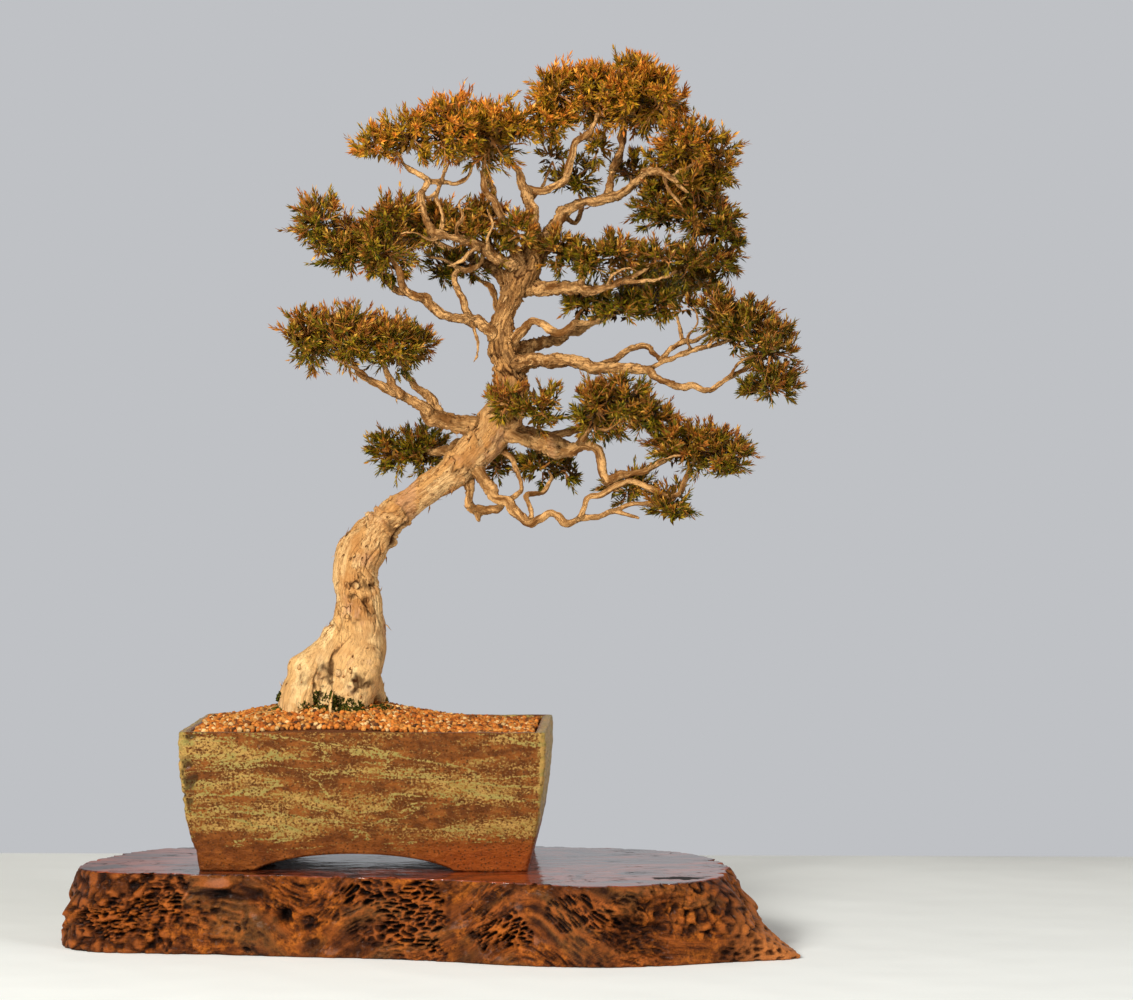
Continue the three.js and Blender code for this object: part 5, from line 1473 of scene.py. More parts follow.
# Brown patches on the trunk's front, as x, z, half width, half height and strength: partly real stains
# and the worn papery patches low on the roots, and partly painted shade, as in the band under the bend
# at the knots.
bark_stains_and_shade = [
    (-6, 338, 21, 10, 0.62), (-8, 243, 17, 14, 0.7), (-40, 250, 9, 20, 0.75), (20, 386, 8, 22, 0.6),
    (86, 444, 15, 9, 0.45), (-4, 312, 9, 12, 0.55), (-60, 246, 10, 10, 0.5), (10, 262, 6, 22, 0.45),
    (-36, 346, 5, 22, 0.5), (60, 412, 22, 6, 0.5), (34, 404, 12, 6, 0.5), (-24, 296, 10, 7, 0.4),
]
marks_below = 420
clefts_below = 480


def cleft_share(x, z, run):
    """How deep in a cleft each place lies, 0 to 1, and its depth there: the nearest of close steps
    along the run counts, with a flat-bottomed bell of the run's half width round it."""
    run = np.array(run, float)
    steps = np.linspace(0, len(run) - 1, 10 * len(run))
    line = np.stack([np.interp(steps, np.arange(len(run)), run[:, part]) for part in range(4)])
    best, deep = np.zeros(len(x)), np.zeros(len(x))
    for line_x, line_z, wide, depth in line.T:
        share = np.exp(-((((x - line_x) ** 2 + (z - line_z) ** 2) / wide**2) ** 2))
        deep = np.where(share > best, depth, deep)
        best = np.maximum(best, share)
    return best, deep


def bark_relief(points, facing_front, grain, radius):
    """Depth of the bark, in millimetres, how dark it is painted, and a number for each plate. Long
    papery plates of unequal height part at cracks that run along the grain, with strings and small
    flakes on them; the wood swells slowly, and all is calmer low on the trunk. Then come the listed
    marks with their raised rims, the brown stains and painted shade, clefts, and hollows and lumps. The
    darkness is painted shade in the cracks, grooves, dents, clefts and hollows, and the own brown of
    the knots and stains."""
    twist = grain[:, 2] * 0.008
    across = grain[:, 0] * np.cos(twist) - grain[:, 1] * np.sin(twist)
    beside = grain[:, 0] * np.sin(twist) + grain[:, 1] * np.cos(twist)
    coil = np.stack([across, beside, grain[:, 2]], -1)
    coil = coil + np.array([9, 9, 14]) * sways(points / 12, (101, 113, 127))
    thick = eased(radius, 7, 15)
    high_up = eased(points[:, 2], 455, 520)
    coil[:, :2] *= 1 + 0.5 * high_up[:, None]
    broad_walls, broad_owner = cell_walls(coil / np.array([10, 10, 40]), 131)
    fine_walls, fine_owner = cell_walls(coil / np.array([3.8, 3.8, 12]), 139)
    flakes, flake_owner = cell_walls(coil / np.array([4.2, 4.2, 13]), 149)
    owner = np.where(thick > 0.5, broad_owner, fine_owner)
    broad_cracks = 1 - eased(broad_walls, 0.0, 0.09 + 0.1 * high_up)
    fine_cracks = 1 - eased(fine_walls, 0.0, 0.2)
    cracks = thick * broad_cracks + (1 - thick) * fine_cracks
    open_here = np.maximum(eased(layered_noise(points / 24, 2, 151), 0.4, 0.6), high_up)
    cracks = cracks * (0.1 + 0.9 * open_here)
    strings = ridges(coil / np.array([2.6, 2.6, 24]), 2, 107)
    lumps = layered_noise(points / np.clip(1.3 * radius, 6, 30)[:, None], 2, 109) - 0.5
    shallow = np.clip(radius / 24, 0.22, 1)
    depth = (1.2 + 1.6 * high_up) * cracks + (1 + 0.8 * high_up) * owner
    depth = shallow * (depth + (0.2 + 0.5 * open_here) * (1 - strings))
    depth += shallow * 0.7 * (flake_owner > 0.55) * eased(flakes, 0.0, 0.2) * open_here
    smooth = 1 - 0.55 * (1 - eased(points[:, 2], 270, 320))
    depth = smooth * depth - 0.5 * np.minimum(radius, 20) * lumps - 0.3 * shallow
    # Painted shade: the cracks and the grooves between the strings are darkened.
    hollow = (0.8 + 0.2 * high_up) * cracks * (0.5 + 0.5 * shallow)
    hollow += (0.12 + 0.3 * open_here) * eased(1 - strings, 0.5, 1) * shallow
    hollow *= smooth
    x, z = points[:, 0], points[:, 2]
    ragged = 0.24 * layered_noise(points / 3, 1, 159)
    here = facing_front * (z < marks_below)
    for mark_x, mark_z, wide, high, deep in bark_marks:
        far = np.hypot((x - mark_x) / wide, (z - mark_z) / high) + ragged - 0.12
        rim = np.exp(-(((far - 1.35) / 0.3) ** 2)) * here
        share = np.exp(-(far**4)) * here
        depth += deep * (1.1 * share - 0.6 * rim)
        hollow = np.maximum(hollow, np.clip((0.56 + 0.1 * deep) * share, 0, 1))
    mottled = 0.25 + 0.75 * eased(layered_noise(points / 4, 3, 157), 0.36, 0.56)
    # Brown stains and painted shade: the listed patches darken the bark's front.
    for brown_x, brown_z, wide, high, strong in bark_stains_and_shade:
        share = np.exp(-((((x - brown_x) / wide) ** 2 + ((z - brown_z) / high) ** 2) ** 2))
        hollow = np.maximum(hollow, strong * share * facing_front * mottled + 0.5 * hollow * share)
    for run in bark_clefts:
        share, deep = cleft_share(x, z, run)
        share = share * facing_front * (z < clefts_below)
        depth += deep * share
        hollow = np.maximum(hollow, np.clip((0.4 + 0.09 * deep) * share, 0, 1))
    for *middle, wide, deep in bark_hollows:
        share = np.exp(-((points - middle) ** 2).sum(1) / wide**2)
        depth += deep * share
        hollow = np.maximum(hollow, np.clip((0.25 + 0.14 * deep) * share, 0, 1))
    return depth, hollow, owner


tree_wood = mesh_piece("bark_and_wood", *limb_tubes())
with_modifier(tree_wood, "REMESH", mode="VOXEL", voxel_size=wood_voxel * MM, use_smooth_shade=True)
points, normals, edges = mesh_arrays(tree_wood.data)
points = relaxed(points, edges, rounds=4, share=0.5)
# Low down, where the roots leave the trunk, the joins are smoothed much further.
at_base = (1 - eased(points[:, 2] / MM, 288, 312))[:, None]
points = (points + at_base * (relaxed(points, edges, rounds=60, share=0.6) - points)) / MM
step = wood.nearest(points)
# The surface roots take their grain from the trunk's foot, so that it runs down into them unbroken.
trunk_steps = len(wood.runs[0])
root_steps = trunk_steps + sum(len(run) for run in wood.runs[1:1 + surface_roots])
near_root = (step >= trunk_steps) & (step < root_steps)
trunk_foot = wood.middles[None, :trunk_foot_steps]
trunk_step = np.linalg.norm(points[near_root, None] - trunk_foot, axis=-1).argmin(1)
grain_step = step.copy()
grain_step[near_root] = trunk_step
grain = wood.grain(points, grain_step)
facing_front = eased(-normals[:, 1], -0.1, 0.3) * (points[:, 1] < 12)
depth, hollow, plate = bark_relief(points, facing_front, grain, wood.radii[step])
points = points + normals * (0.2 - np.minimum(depth, 0.6 * wood.radii[step] + 1))[:, None]
tree_wood.data.vertices.foreach_set("co", (points * MM).astype(np.float32).ravel())
point_values(tree_wood, "hollow", hollow)
point_values(tree_wood, "grain", grain * MM)
point_values(tree_wood, "girth", wood.radii[step] * MM)
point_values(tree_wood, "plate", plate)
tree_wood.data.update()
face_count = sum(len(face.vertices) - 2 for face in tree_wood.data.polygons)
with_modifier(tree_wood, "DECIMATE", ratio=min(1.0, wood_faces / face_count))
tree_wood.data.polygons.foreach_set("use_smooth", np.ones(len(tree_wood.data.polygons), bool))


def bark_material():
    """Papery bark: cream plates with tan, grey-pink and brown worn places and thin broken lines; palest
    at the foot, browner high up and on the thin limbs; painted dark in cracks, dents, clefts and
    hollows as their shade, and brown in knots and stains."""
    material, tree, surface = finish_named("papery_bark")
    place = object_place(tree)
    grain = attribute(tree, "grain", "Vector")
    strings = noise(tree, stretched(tree, grain, (430, 430, 62)), 1.0, 5.0, 0.7, 0.8)
    marks = noise(tree, stretched(tree, grain, (110, 110, 30)), 1.0, 5.0, 0.62, 1.3)
    patch = noise(tree, place, 27.0, 4.0, 0.6)
    worn = noise(tree, stretched(tree, place, (38, 38, 30)), 1.0, 4.0, 0.6)
    blotch = noise(tree, place, 190.0, 3.0, 0.6)
    above_slab = axes_of(tree, place)["Z"]
    plate = spread(tree, attribute(tree, "plate"), 0.1, 0.9)
    tone = with_layers(
        tree, blended(tree, plate, colour(228, 174, 108), colour(252, 213, 152)),
        (patch, 0.36, 0.54, 0.85, 0.0, (180, 120, 62)),
        (worn, 0.53, 0.64, 0.0, 0.75, (200, 152, 116)),
        (strings, 0.36, 0.52, 0.72, 0.0, (140, 86, 40)),
        (above_slab, 0.26, 0.32, 0.3, 0.0, (248, 212, 152)),
        (above_slab, 0.3, 0.36, 0.0, 0.34, (190, 132, 74)),
    )
    aged = blended(tree, spread(tree, marks, 0.36, 0.6), colour(104, 64, 28), colour(202, 148, 86))
    aged = with_layers(tree, aged, (strings, 0.36, 0.54, 0.7, 0.0, (84, 50, 20)))
    tone = blended(tree, spread(tree, above_slab, 0.45, 0.56, 0.0, 0.85), tone, aged)
    young = blended(tree, spread(tree, marks, 0.36, 0.62), colour(122, 78, 36), colour(224, 172, 110))
    young = with_layers(tree, young, (blotch, 0.34, 0.5, 0.5, 0.0, (104, 64, 30)))
    thin = spread(tree, attribute(tree, "girth"), 0.006, 0.014, 1.0, 0.0)
    thin = calculated(tree, "MULTIPLY", thin, spread(tree, above_slab, 0.24, 0.3))
    tone = blended(tree, thin, tone, young)
    lines = lines_at(tree, marks, level=0.5, solid=0.002, faded=0.018, strength=0.85)
    lines = calculated(tree, "MULTIPLY", lines, spread(tree, patch, 0.42, 0.5))
    lines = calculated(tree, "MULTIPLY", lines, spread(tree, above_slab, 0.26, 0.31, 0.4, 1.0))
    tone = blended(tree, lines, tone, colour(112, 68, 30))
    # The hollow value paints shade in the cracks, dents, clefts and hollows, and the brown of knots and
    # stains, some of which is painted shade too.
    fill_sockets(tree, surface, {
        "Base Color": with_layers(
            tree, tone, (attribute(tree, "hollow"), 0.2, 0.85, 0.0, 1.0, (62, 33, 11))
        ),
        "Roughness": 0.85, "Specular IOR Level": 0.08,
        "Normal": bumped(tree, calculated(tree, "ADD", strings, marks), 0.0026),
    })
    return material


tree_wood.data.materials.clear()
tree_wood.data.materials.append(bark_material())
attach(tree_wood, "root")
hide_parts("tree_wood")


# Bark flakes
# Old layers of the papery bark that have come loose at one end and curl off the trunk and the
# thicker limbs. They belong to the bark under them.
flake_seed = 5
flake_count = 900
flakes_above = 225
# A folded lance, one long and one wide: its base, its two raised edges and its tip.
lance_points = np.array([[0, 0, -0.02], [0.4, 0.5, 0.07], [0.4, -0.5, 0.07], [1, 0, 0.04]])
lance_faces = np.array([[0, 3, 1], [0, 2, 3], [0, 1, 2], [1, 3, 2]])


def unit(rows):
    """Rows divided by their lengths."""
    return rows / np.maximum(np.linalg.norm(rows, axis=-1, keepdims=True), 1e-9)


def lance_meshes(base, axis, flat, size, width):
    """The folded lance for each row, scaled to its size and width, turned to its axis with its flat
    side outwards, and set at its place."""
    sideways = np.cross(flat, axis)
    local = lance_points[None] * np.stack([size, width, size], -1)[:, None]
    points = base[:, None] + local[..., :1] * axis[:, None] + local[..., 1:2] * sideways[:, None]
    points = points + local[..., 2:] * flat[:, None]
    return points.reshape(-1, 3), repeated(lance_faces, len(base), len(lance_points))


wood_points, wood_normals, _ = mesh_arrays(tree_wood.data)
wood_points = wood_points / MM
wood_step = wood.nearest(wood_points)
draw = np.random.default_rng(flake_seed)
weight = eased(wood.radii[wood_step], 2, 14) * (wood_points[:, 2] > flakes_above)
chosen = draw.choice(len(wood_points), flake_count, replace=False, p=weight / weight.sum())
along = wood.along[wood_step[chosen]] * draw.choice([-1, 1], flake_count, p=[0.7, 0.3])[:, None]
out = wood_normals[chosen]
lift = draw.uniform(0.1, 0.55, flake_count)[:, None]
axis = unit(along + out * lift + 0.25 * draw.normal(size=(flake_count, 3)))
flat = unit(np.cross(axis, np.cross(out, axis)))
size = draw.uniform(2.5, 7.5, flake_count) * np.where(draw.uniform(size=flake_count) > 0.93, 1.7, 1)
width = size * draw.uniform(0.16, 0.4, flake_count)
flake_points, flake_faces = lance_meshes(wood_points[chosen] - 0.8 * out, axis, flat, size, width)
flakes = mesh_piece("bark_flakes", flake_points * MM, flake_faces)
flake_tones = tones((226, 178, 118), (178, 124, 72), (112, 68, 34))
flake_tint = flake_tones[draw.choice(3, flake_count, p=[0.45, 0.33, 0.22])]
point_tints(flakes, "tint", np.repeat(flake_tint, len(lance_points), 0))


def tinted_material(name, roughness, warm):
    """A dry finish from each point's own tint, mottled towards a warm tone by fine noise."""
    material, tree, surface = finish_named(name)
    share, grain = mottle_of(tree, scale=500.0, detail=3.0, low=0.4, high=0.7, most=0.45)
    fill_sockets(tree, surface, {
        "Base Color": blended(tree, share, attribute(tree, "tint", "Color"), warm),
        "Roughness": roughness, "Specular IOR Level": 0.08, "Normal": bumped(tree, grain, 0.0004),
    })
    return material


flakes.data.materials.append(tinted_material("loose_bark", 0.85, colour(190, 140, 90)))
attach(flakes, "root")


# Moss and rootlets
# Cushions of dark moss in the damp folds where the roots enter the grit, and a few fine roots that
# run over it to the left.
moss_seed = 17
half_moss = 2600
# Patches of moss on the roots' feet, as x, y, z and radius in millimetres. Half of the moss grows on
# the wood there, and half on the grit beside it.
moss_patches = [
    (-84, -28, 224, 10), (-60, -36, 222, 8), (-44, -38, 229, 10), (-32, -42, 225, 11),
    (-20, -44, 223, 10), (-8, -42, 220, 9), (10, -28, 224, 9), (16, -18, 222, 8), (-40, 44, 216, 14),
    (10, 36, 214, 12),
]
draw = np.random.default_rng(moss_seed)
cover = np.zeros(len(wood_points))
for x, y, z, wide in moss_patches:
    cover = np.maximum(cover, np.exp(-((wood_points - (x, y, z)) ** 2).sum(1) / wide**2))
cover *= (cover > 0.4) * eased(layered_noise(wood_points / 7, 2, 171), 0.36, 0.5)
chosen = draw.choice(len(wood_points), half_moss, p=cover / cover.sum())
patches = np.array(moss_patches)[draw.integers(0, len(moss_patches), half_moss)]
flat_place = patches[:, :2] + draw.normal(0, 0.42, (half_moss, 2)) * patches[:, 3:] * [0.9, 0.7]
ground = mound_top(flat_place[:, 0] * MM, flat_place[:, 1] * MM)[:, None] / MM + 1.2
moss_base = np.concatenate([wood_points[chosen], np.concatenate([flat_place, ground], -1)])
moss_out = np.concatenate([wood_normals[chosen], np.tile([0, 0, 1.0], (half_moss, 1))])
moss_base = moss_base - 0.5 * moss_out
axis = unit(moss_out + [0, 0, 0.6] + 0.6 * draw.normal(size=moss_out.shape))
flat = unit(np.cross(axis, np.cross([0.3, -0.9, 0.2], axis)))
size = draw.uniform(1.8, 3.8, len(axis))
width = size * draw.uniform(0.5, 0.8, len(axis))
moss_points, moss_faces = lance_meshes(moss_base, axis, flat, size, width)
moss = mesh_piece("moss", moss_points * MM, moss_faces)
moss_tones = tones((34, 38, 10), (66, 72, 18), (120, 112, 40))
moss_tint = moss_tones[draw.choice(3, len(axis), p=[0.45, 0.37, 0.18])]
point_tints(moss, "tint", np.repeat(moss_tint, len(lance_points), 0))
moss.data.materials.append(tinted_material("moss_green", 0.9, colour(96, 92, 30)))
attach(moss, "root")


def twig_meshes(starts, ends, start_radius, end_radius):
    """Three-sided twigs that taper from a start to an end, closed at both."""
    along = unit(ends - starts)
    across = unit(np.cross(along, [0.37, 0.83, 0.41]))
    beside = np.cross(along, across)
    angle = np.array([0, 2.0944, 4.18879])[None, :, None]
    ring = across[:, None] * np.cos(angle) + beside[:, None] * np.sin(angle)
    low = starts[:, None] + ring * np.reshape(start_radius, (-1, 1, 1))
    high = ends[:, None] + ring * np.reshape(end_radius, (-1, 1, 1))
    points = np.concatenate([low, high], 1)
    faces = np.array([
        [0, 1, 4], [0, 4, 3], [1, 2, 5], [1, 5, 4], [2, 0, 3], [2, 3, 5], [2, 1, 0], [3, 4, 5],
    ])
    return points.reshape(-1, 3), repeated(faces, len(starts), 6)


# Each rootlet: where it leaves the root and where it ends, in millimetres from above.
rootlet_ends = [
    ((-86, -34), (-132, -52)), ((-84, -40), (-118, -62)), ((-90, -26), (-126, -30)),
    ((-60, -44), (-74, -72)), ((-34, -52), (-30, -74)), ((-2, -44), (10, -66)),
    ((-88, -20), (-140, -12)),
]
share = np.linspace(0, 1, 11)[:, None]
starts, ends = [], []
for first, last in np.array(rootlet_ends):
    line = first + share * (last - first)
    line = line + share * (1 - share) * draw.normal(0, 14, 2) + draw.normal(0, 0.9, line.shape)
    top = mound_top(line[:, 0] * MM, line[:, 1] * MM)[:, None] / MM + 2.4
    top = top + draw.normal(0, 0.5, (len(share), 1))
    line = np.concatenate([line, top - 4.5 * share**4], -1)
    starts.append(line[:-1])
    ends.append(line[1:])
thick = np.tile(1.5 - 0.9 * share[:-1], (len(rootlet_ends), 1))
root_points, root_faces = twig_meshes(np.concatenate(starts), np.concatenate(ends), thick, thick * 0.92)
rootlets = mesh_piece("rootlets", root_points * MM, root_faces)
point_tints(rootlets, "tint", np.tile(tones((196, 150, 88)), (len(root_points), 1)))
rootlets.data.materials.append(flakes.data.materials[0])
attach(rootlets, "root")


# Foliage
# Stiff pointed leaves stand round every shoot, green within the spray and bronze to red at its tips.
# Each spray hangs together on its own twigs, which grow out of the wood.

# A spray has lobes, given in millimetres as middle and half width, depth and height.
spray_lobes = {
    "crown_top": [
        (176, -3, 801, 19, 25, 24), (210, 10, 799, 27, 37, 27), (246, 15, 804, 32, 43, 30),
        (275, 5, 793, 21, 32, 25), (171, 4, 774, 17, 20, 16),
    ],
    "upper_left": [
        (9, -38, 748, 22, 21, 12), (41, -35, 756, 24, 30, 18), (77, -24, 766, 30, 37, 29),
        (111, -13, 761, 24, 34, 32), (141, -4, 768, 18, 25, 16), (162, 0, 778, 14, 18, 13),
    ],
    "middle_left": [
        (-46, -7, 679, 21, 30, 22), (-22, -3, 656, 27, 34, 23), (13, -14, 653, 27, 32, 27),
        (25, -21, 682, 20, 23, 16),
    ],
    "centre_left": [
        (76, -2, 681, 24, 21, 13), (108, 5, 684, 22, 23, 15), (62, -10, 669, 20, 20, 12),
        (96, -8, 668, 22, 20, 13), (121, -4, 656, 15, 14, 12),
    ],
    "centre_front": [(140, -26, 668, 18, 16, 16)],
    "under_left": [(69, 46, 638, 15, 19, 15), (90, 52, 644, 15, 18, 14)],
    "low_left": [
        (-57, -12, 567, 22, 32, 24), (-19, -15, 570, 30, 41, 25), (20, -5, 563, 27, 37, 24),
        (43, 9, 559, 15, 25, 18),
    ],
    "low_back_left": [(13, 116, 459, 20, 25, 16), (43, 109, 461, 24, 30, 19)],
    "small_back_left": [(170, 41, 743, 12, 15, 15)],
    "small_back_centre": [(194, 67, 721, 18, 19, 18)],
    "small_under_top": [(218, 20, 752, 15, 13, 10)],
    "small_back_right": [(247, 57, 731, 19, 18, 12)],
    "right_high": [
        (303, 2, 750, 28, 34, 23), (327, 7, 739, 16, 30, 24), (281, 14, 736, 15, 23, 16),
        (303, -34, 714, 12, 10, 10),
    ],
    "right_middle": [
        (280, 28, 691, 27, 30, 19), (311, 16, 690, 27, 32, 25), (332, 9, 670, 16, 25, 20),
        (310, 15, 719, 25, 25, 14), (275, 24, 714, 15, 20, 12), (338, 4, 648, 14, 20, 15),
        (318, -2, 625, 15, 18, 11),
    ],
    "band_left": [(181, -6, 650, 18, 19, 17), (209, -8, 643, 21, 23, 15), (235, -13, 648, 15, 22, 15)],
    "band_right": [
        (274, -22, 641, 18, 21, 16), (301, -18, 638, 21, 22, 13), (328, -12, 641, 14, 16, 12),
    ],
    "band_low": [(205, 30, 603, 22, 21, 12), (237, 26, 598, 27, 25, 15), (272, 19, 604, 22, 23, 13)],
    "far_right": [
        (333, -31, 587, 16, 25, 24), (358, -42, 576, 22, 32, 22), (378, -52, 555, 20, 32, 27),
        (377, -58, 523, 23, 25, 15), (322, -22, 606, 13, 15, 9), (300, -16, 598, 9, 11, 7),
    ],
    "trunk_front": [(133, -42, 508, 20, 17, 14), (163, -46, 502, 22, 20, 18)],
    "low_right_upper": [
        (215, -58, 501, 18, 24, 22), (241, -60, 508, 22, 26, 21), (268, -55, 495, 20, 22, 15),
    ],
    "low_right": [
        (291, -58, 465, 22, 28, 18), (317, -61, 464, 24, 32, 21), (337, -59, 456, 18, 28, 19),
    ],
    "lowest_right": [(247, -25, 428, 23, 18, 15)],
    "lowest_right_tip": [(286, -50, 411, 20, 22, 18)],
    "under_right": [(160, 28, 446, 21, 19, 12), (185, 25, 444, 15, 15, 11)],
    "under_junction": [(119, 49, 448, 15, 15, 12)],
    "back_top": [(228, 94, 802, 31, 34, 24), (265, 89, 793, 24, 32, 23)],
    "back_left": [(15, 126, 674, 30, 32, 22), (49, 113, 679, 25, 28, 18)],
    "back_right": [(255, 129, 621, 32, 34, 20), (294, 114, 625, 25, 30, 18)],
    "back_high_left": [(96, 75, 767, 29, 30, 23)],
    "back_high_right": [(306, 84, 717, 29, 32, 27)],
    "back_low": [(216, 112, 496, 25, 28, 18), (247, 103, 500, 21, 25, 18)],
}

leaf_seed = 29
sprig_area = 182
shoots_on_sprig = 3
leaves_on_shoot = 13
inner_leaf_area = 70
shortest_shoot = 9
longest_shoot = 23
clear_of_wood = 1.5
shortest_leaf = 7
longest_leaf = 10.4
golden_turn = 2.39996
back_limit = 160
top_limit = 842
crown_from = 690


def lobe_share(points, lobe):
    """How far out of a lobe a point lies: 0 at its middle, 1 on its surface."""
    return np.linalg.norm((points - lobe[:3]) / lobe[3:], axis=-1)


def lobe_area(size):
    """Roughly a lobe's surface, from its three half sizes taken in pairs."""
    return 4 * np.pi * (size[0] * size[1] + size[1] * size[2] + size[2] * size[0]) / 3


def shoots_of(lobes, others, draw):
    """Roots, directions, lengths, outward tilts and ripeness of the shoots on a spray's lobes. They
    fork in threes at random over each lobe, lean to the light, leave gaps where noise is low, and
    keep out of the wood and the other lobes. A few grow long, and none past the back or top limit."""
    made = []
    for index, lobe in enumerate(lobes):
        size = lobe[3:]
        forks = int(lobe_area(size) / sprig_area)
        count = forks * shoots_on_sprig
        outward = np.repeat(unit(draw.normal(size=(forks, 3))), shoots_on_sprig, 0)
        depth = np.repeat(draw.uniform(0.4, 0.95, forks), shoots_on_sprig)[:, None]
        lean = outward * size / size.mean() + [0, 0, 0.6]
        lean += 0.5 * np.repeat(draw.normal(size=(forks, 3)), shoots_on_sprig, 0)
        direction = unit(unit(lean) + 0.36 * draw.normal(size=(count, 3)))
        root = lobe[:3] + outward * size * depth + direction * draw.uniform(0, 4, (count, 1))
        swell = layered_noise(root / 13, 2, 401)
        tip_share = 0.84 + 0.46 * swell + 0.32 * (draw.uniform(size=count) > 0.82)
        length = (tip_share - depth[:, 0]) * size.mean() * 1.25
        length = np.clip(length, shortest_shoot, longest_shoot)
        tip = root + direction * length[:, None]
        past_back = np.maximum(tip[:, 1] - back_limit, 0) * (direction[:, 1] > 0.2)
        length = np.maximum(length - (past_back + np.maximum(tip[:, 2] - top_limit, 0)), 5)
        free = layered_noise(root / 11, 2, 405) > 0.36
        for other in np.delete(lobes, index, 0):
            free &= lobe_share(tip, other) > 0.72
        for other in others:
            free &= lobe_share(tip, other) > 0.62
        step = wood.nearest(tip)
        from_wood = np.linalg.norm(tip - wood.middles[step], axis=1) - wood.radii[step]
        free &= from_wood > clear_of_wood
        ripe = np.repeat(draw.normal(0, 0.13, forks), shoots_on_sprig) + draw.normal(0, 0.1, count)
        rows = [root, direction, length[:, None], outward[:, 2:], ripe[:, None]]
        made.append(np.concatenate(rows, 1)[free])
    return np.concatenate(made)


def leaves_on(shoots, draw):
    """Places, directions, sizes, ages and ripeness of the leaves. They climb each shoot by the golden
    turn, wide open at its base and closing to a point at its tip."""
    count = leaves_on_shoot
    share = (np.arange(count)[None] + draw.uniform(0, 0.8, (len(shoots), count))) / count
    root, direction, length = shoots[:, None, :3], shoots[:, None, 3:6], shoots[:, None, 6:7]
    across = unit(np.cross(direction, [0.31, 0.23, 0.92]))
    beside = np.cross(direction, across)
    angle = golden_turn * np.arange(count)[None] + draw.uniform(0, 6.28, (len(shoots), 1))
    angle = (angle + draw.normal(0, 0.3, angle.shape))[..., None]
    around = across * np.cos(angle) + beside * np.sin(angle)
    open_by = np.radians(58 - 42 * share + draw.normal(0, 10, share.shape))[..., None]
    axis = unit(direction * np.cos(open_by) + around * np.sin(open_by) + [0, 0, 0.08])
    base = root + direction * length * share[..., None] + around * 0.4
    flat = unit(np.cross(axis, np.cross(direction + 0.2 * around, axis)))
    size = draw.uniform(shortest_leaf, longest_leaf, share.shape) * (1.06 - 0.34 * share)
    width = size * draw.uniform(0.22, 0.33, share.shape)
    age, ripe = (np.broadcast_to(shoots[:, None, part], share.shape) for part in (7, 8))
    leaves = (base, axis, flat, size, width, share, age, ripe)
    return [part.reshape(-1, *part.shape[2:]) for part in leaves]


def inner_leaves(lobes, draw):
    """Old, broad, dark leaves within the lobes, on the twigs under the shoots."""
    rows = []
    for lobe in lobes:
        size = lobe[3:]
        count = int(lobe_area(size) / inner_leaf_area)
        outward = unit(draw.normal(size=(count, 3)))
        base = lobe[:3] + outward * size * draw.uniform(0.15, 0.72, (count, 1))
        axis = unit(outward + [0, 0, 0.2] + 0.8 * draw.normal(size=(count, 3)))
        flat = unit(np.cross(axis, np.cross([0.2, -0.5, 0.8], axis)))
        long = draw.uniform(8, 12, count)
        rows.append(np.concatenate([base, axis, flat, long[:, None], 0.4 * long[:, None]], 1))
    rows = np.concatenate(rows)
    return rows[:, :3], rows[:, 3:6], rows[:, 6:9], rows[:, 9], rows[:, 10]


leaf_greens = tones((50, 56, 6), (88, 84, 10), (136, 116, 22), (104, 100, 14))
leaf_bronzes = tones((164, 100, 38), (134, 74, 30), (206, 158, 76), (112, 56, 26))


def leaf_tints(share, age, ripe, height, shaded, draw):
    """Colours of the leaves: more bronze towards a shoot's tip, towards the top of the spray and on
    shoots that face up, and less on a shaded spray. Each shoot and each leaf is a little its own."""
    count = len(share)
    ripeness = 0.42 * share + 0.13 * height + 0.1 * (age + 1) / 2 + ripe + draw.normal(0, 0.1, count)
    ripeness = eased(ripeness - (0.14 if shaded else 0.0), 0.2, 0.64)[:, None]
    green = leaf_greens[draw.integers(0, 4, count)]
    bronze = leaf_bronzes[draw.choice(4, count, p=[0.34, 0.3, 0.16, 0.2])]
    return (green * (1 - ripeness) + bronze * ripeness) * draw.uniform(0.7, 1.3, (count, 1))


def leaf_material():
    """Stiff leaf: its own tint, mottled towards yellow, with a waxy sheen."""
    material, tree, surface = finish_named("bronze_leaf")
    tint = attribute(tree, "tint", "Color")
    share, grain = mottle_of(tree, scale=320.0, detail=2.0, low=0.4, high=0.7, most=0.4)
    fill_sockets(tree, surface, {
        "Base Color": blended(tree, share, tint, colour(190, 130, 26), "OVERLAY"), "Roughness": 0.42,
        "Specular IOR Level": 0.16, "Normal": bumped(tree, grain, 0.0003),
    })
    return material


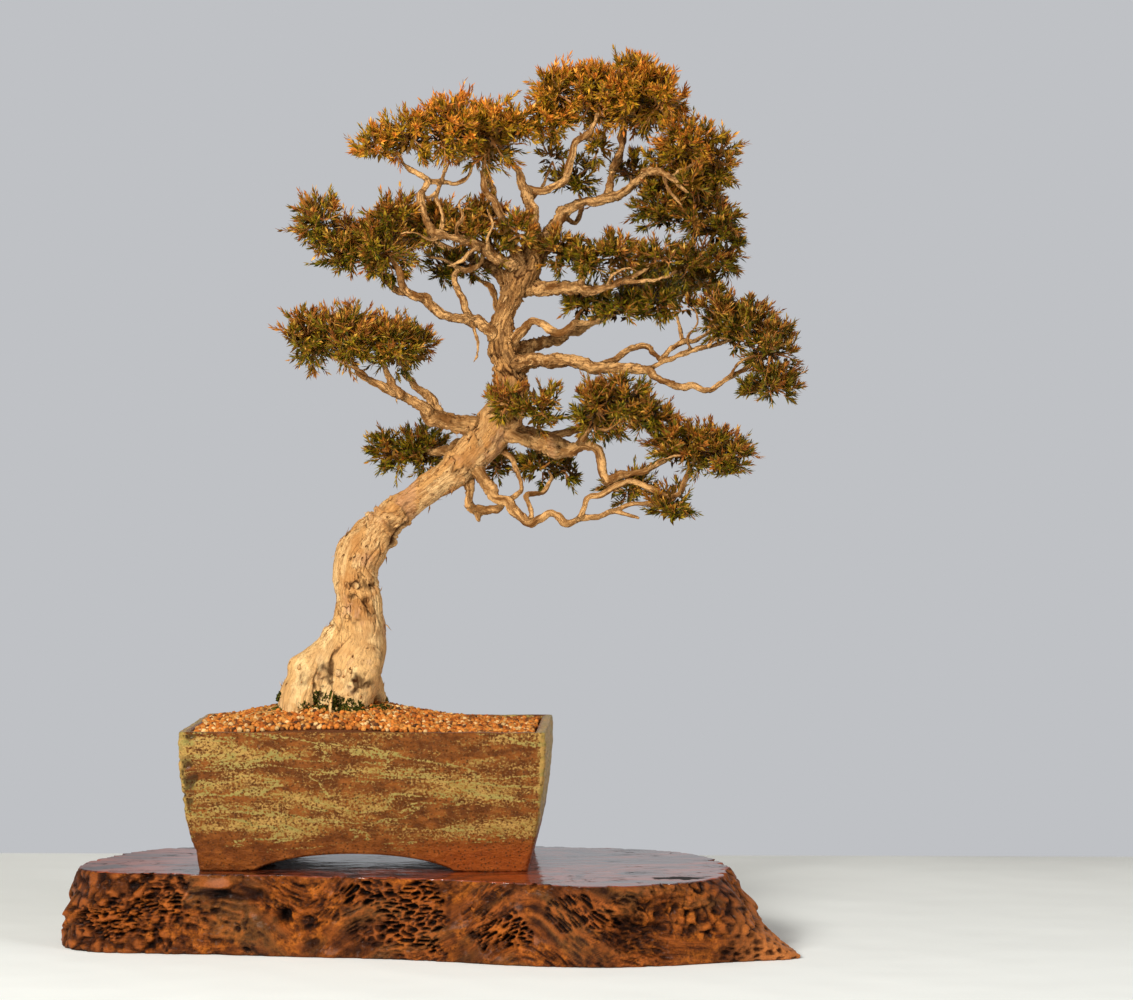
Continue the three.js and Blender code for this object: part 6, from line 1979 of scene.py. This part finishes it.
leaf_finish = leaf_material()
shaded_sprays = {
    "under_left", "low_back_left", "small_back_left", "small_back_centre", "small_under_top",
    "small_back_right", "band_low", "under_right", "under_junction", "lowest_right", "back_right",
    "back_low",
}
all_lobes = {name: np.array(lobes, float) for name, lobes in spray_lobes.items()}
for order, (name, lobes) in enumerate(all_lobes.items()):
    draw = np.random.default_rng(leaf_seed + order)
    others = [lobe for other, rows in all_lobes.items() if other != name for lobe in rows]
    shoots = shoots_of(lobes, others, draw)
    base, axis, flat, size, width, share, age, ripe = leaves_on(shoots, draw)
    lows, highs = (lobes[:, 2] - lobes[:, 5]).min(), (lobes[:, 2] + lobes[:, 5]).max()
    height = np.clip((base[:, 2] - lows) / (highs - lows), 0, 1)
    tints = leaf_tints(share, age, ripe, height, name in shaded_sprays, draw)
    # The crown's leaves are redder as new growth, and paler, partly as new growth and partly as painted
    # light from above; those at the left are a little paler, as painted light, and those at the right,
    # above the low sprays, darker, as painted shade. Then each leaf nears its spray's mean colour, and
    # the palest are held back.
    crown = eased(base[:, 2:], crown_from, 770)
    tints *= 1.2 + 1.05 * crown + 0.12 * eased(-base[:, :1], -190, -120)
    tints *= 1 - 0.2 * eased(base[:, :1], 250, 310) * eased(base[:, 2:], 480, 540)
    tints *= 1 + np.array([0.05, -0.13, -0.2]) * crown
    evenness = 0.22 + 0.2 * crown
    tints += evenness * (tints.mean(1, keepdims=True) * tints.mean(0) / tints.mean() - tints)
    tints = tints / (1 + 0.9 * np.maximum(tints.mean(1, keepdims=True) - 0.22, 0))
    inner = inner_leaves(lobes, draw)
    inner_x, inner_z = inner[0][:, :1], inner[0][:, 2:]
    inner_tints = np.tile(tones((70, 48, 6)), (len(inner_x), 1))
    inner_tints *= draw.uniform(0.5, 1.5, (len(inner_tints), 1))
    # The inner leaves are painted paler in the crown and at the left, as light.
    inner_left = 0.6 * eased(-inner_x, -190, -120)
    inner_tints *= 1.1 + 1.3 * np.maximum(eased(inner_z, crown_from, 740), inner_left)
    tints = np.concatenate([tints, inner_tints])
    leaf_rows = [np.concatenate(pair) for pair in zip((base, axis, flat, size, width), inner)]
    points, faces = lance_meshes(*leaf_rows)
    nearest_lobe = np.stack([lobe_share(shoots[:, :3], lobe) for lobe in lobes]).argmin(0)
    middles = lobes[nearest_lobe, :3]
    within = middles + 0.3 * (shoots[:, :3] - middles) + draw.normal(0, 1.5, (len(shoots), 3))
    tips = shoots[:, :3] + shoots[:, 3:6] * shoots[:, 6:7] * 0.95
    stems, stem_faces = twig_meshes(shoots[:, :3], tips, 0.7, 0.35)
    fork_tips = shoots[::3, :3] + 0.5 * shoots[::3, 3:6]
    forks, fork_faces = twig_meshes(within[::3], fork_tips, 1.2, 0.8)
    leaf_count, stem_count = len(points), len(stems)
    spray = mesh_piece(
        "leaves_" + name, np.concatenate([points, stems, forks]) * MM,
        np.concatenate([faces, stem_faces + leaf_count, fork_faces + leaf_count + stem_count]),
    )
    twig_tint = np.tile(tones((176, 122, 66)), (stem_count + len(forks), 1))
    point_tints(spray, "tint", np.concatenate([np.repeat(tints, len(lance_points), 0), twig_tint]))
    spray.data.polygons.foreach_set("use_smooth", np.zeros(len(spray.data.polygons), bool))
    spray.data.materials.append(leaf_finish)
    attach(spray, "root")
    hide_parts("foliage_" + name)
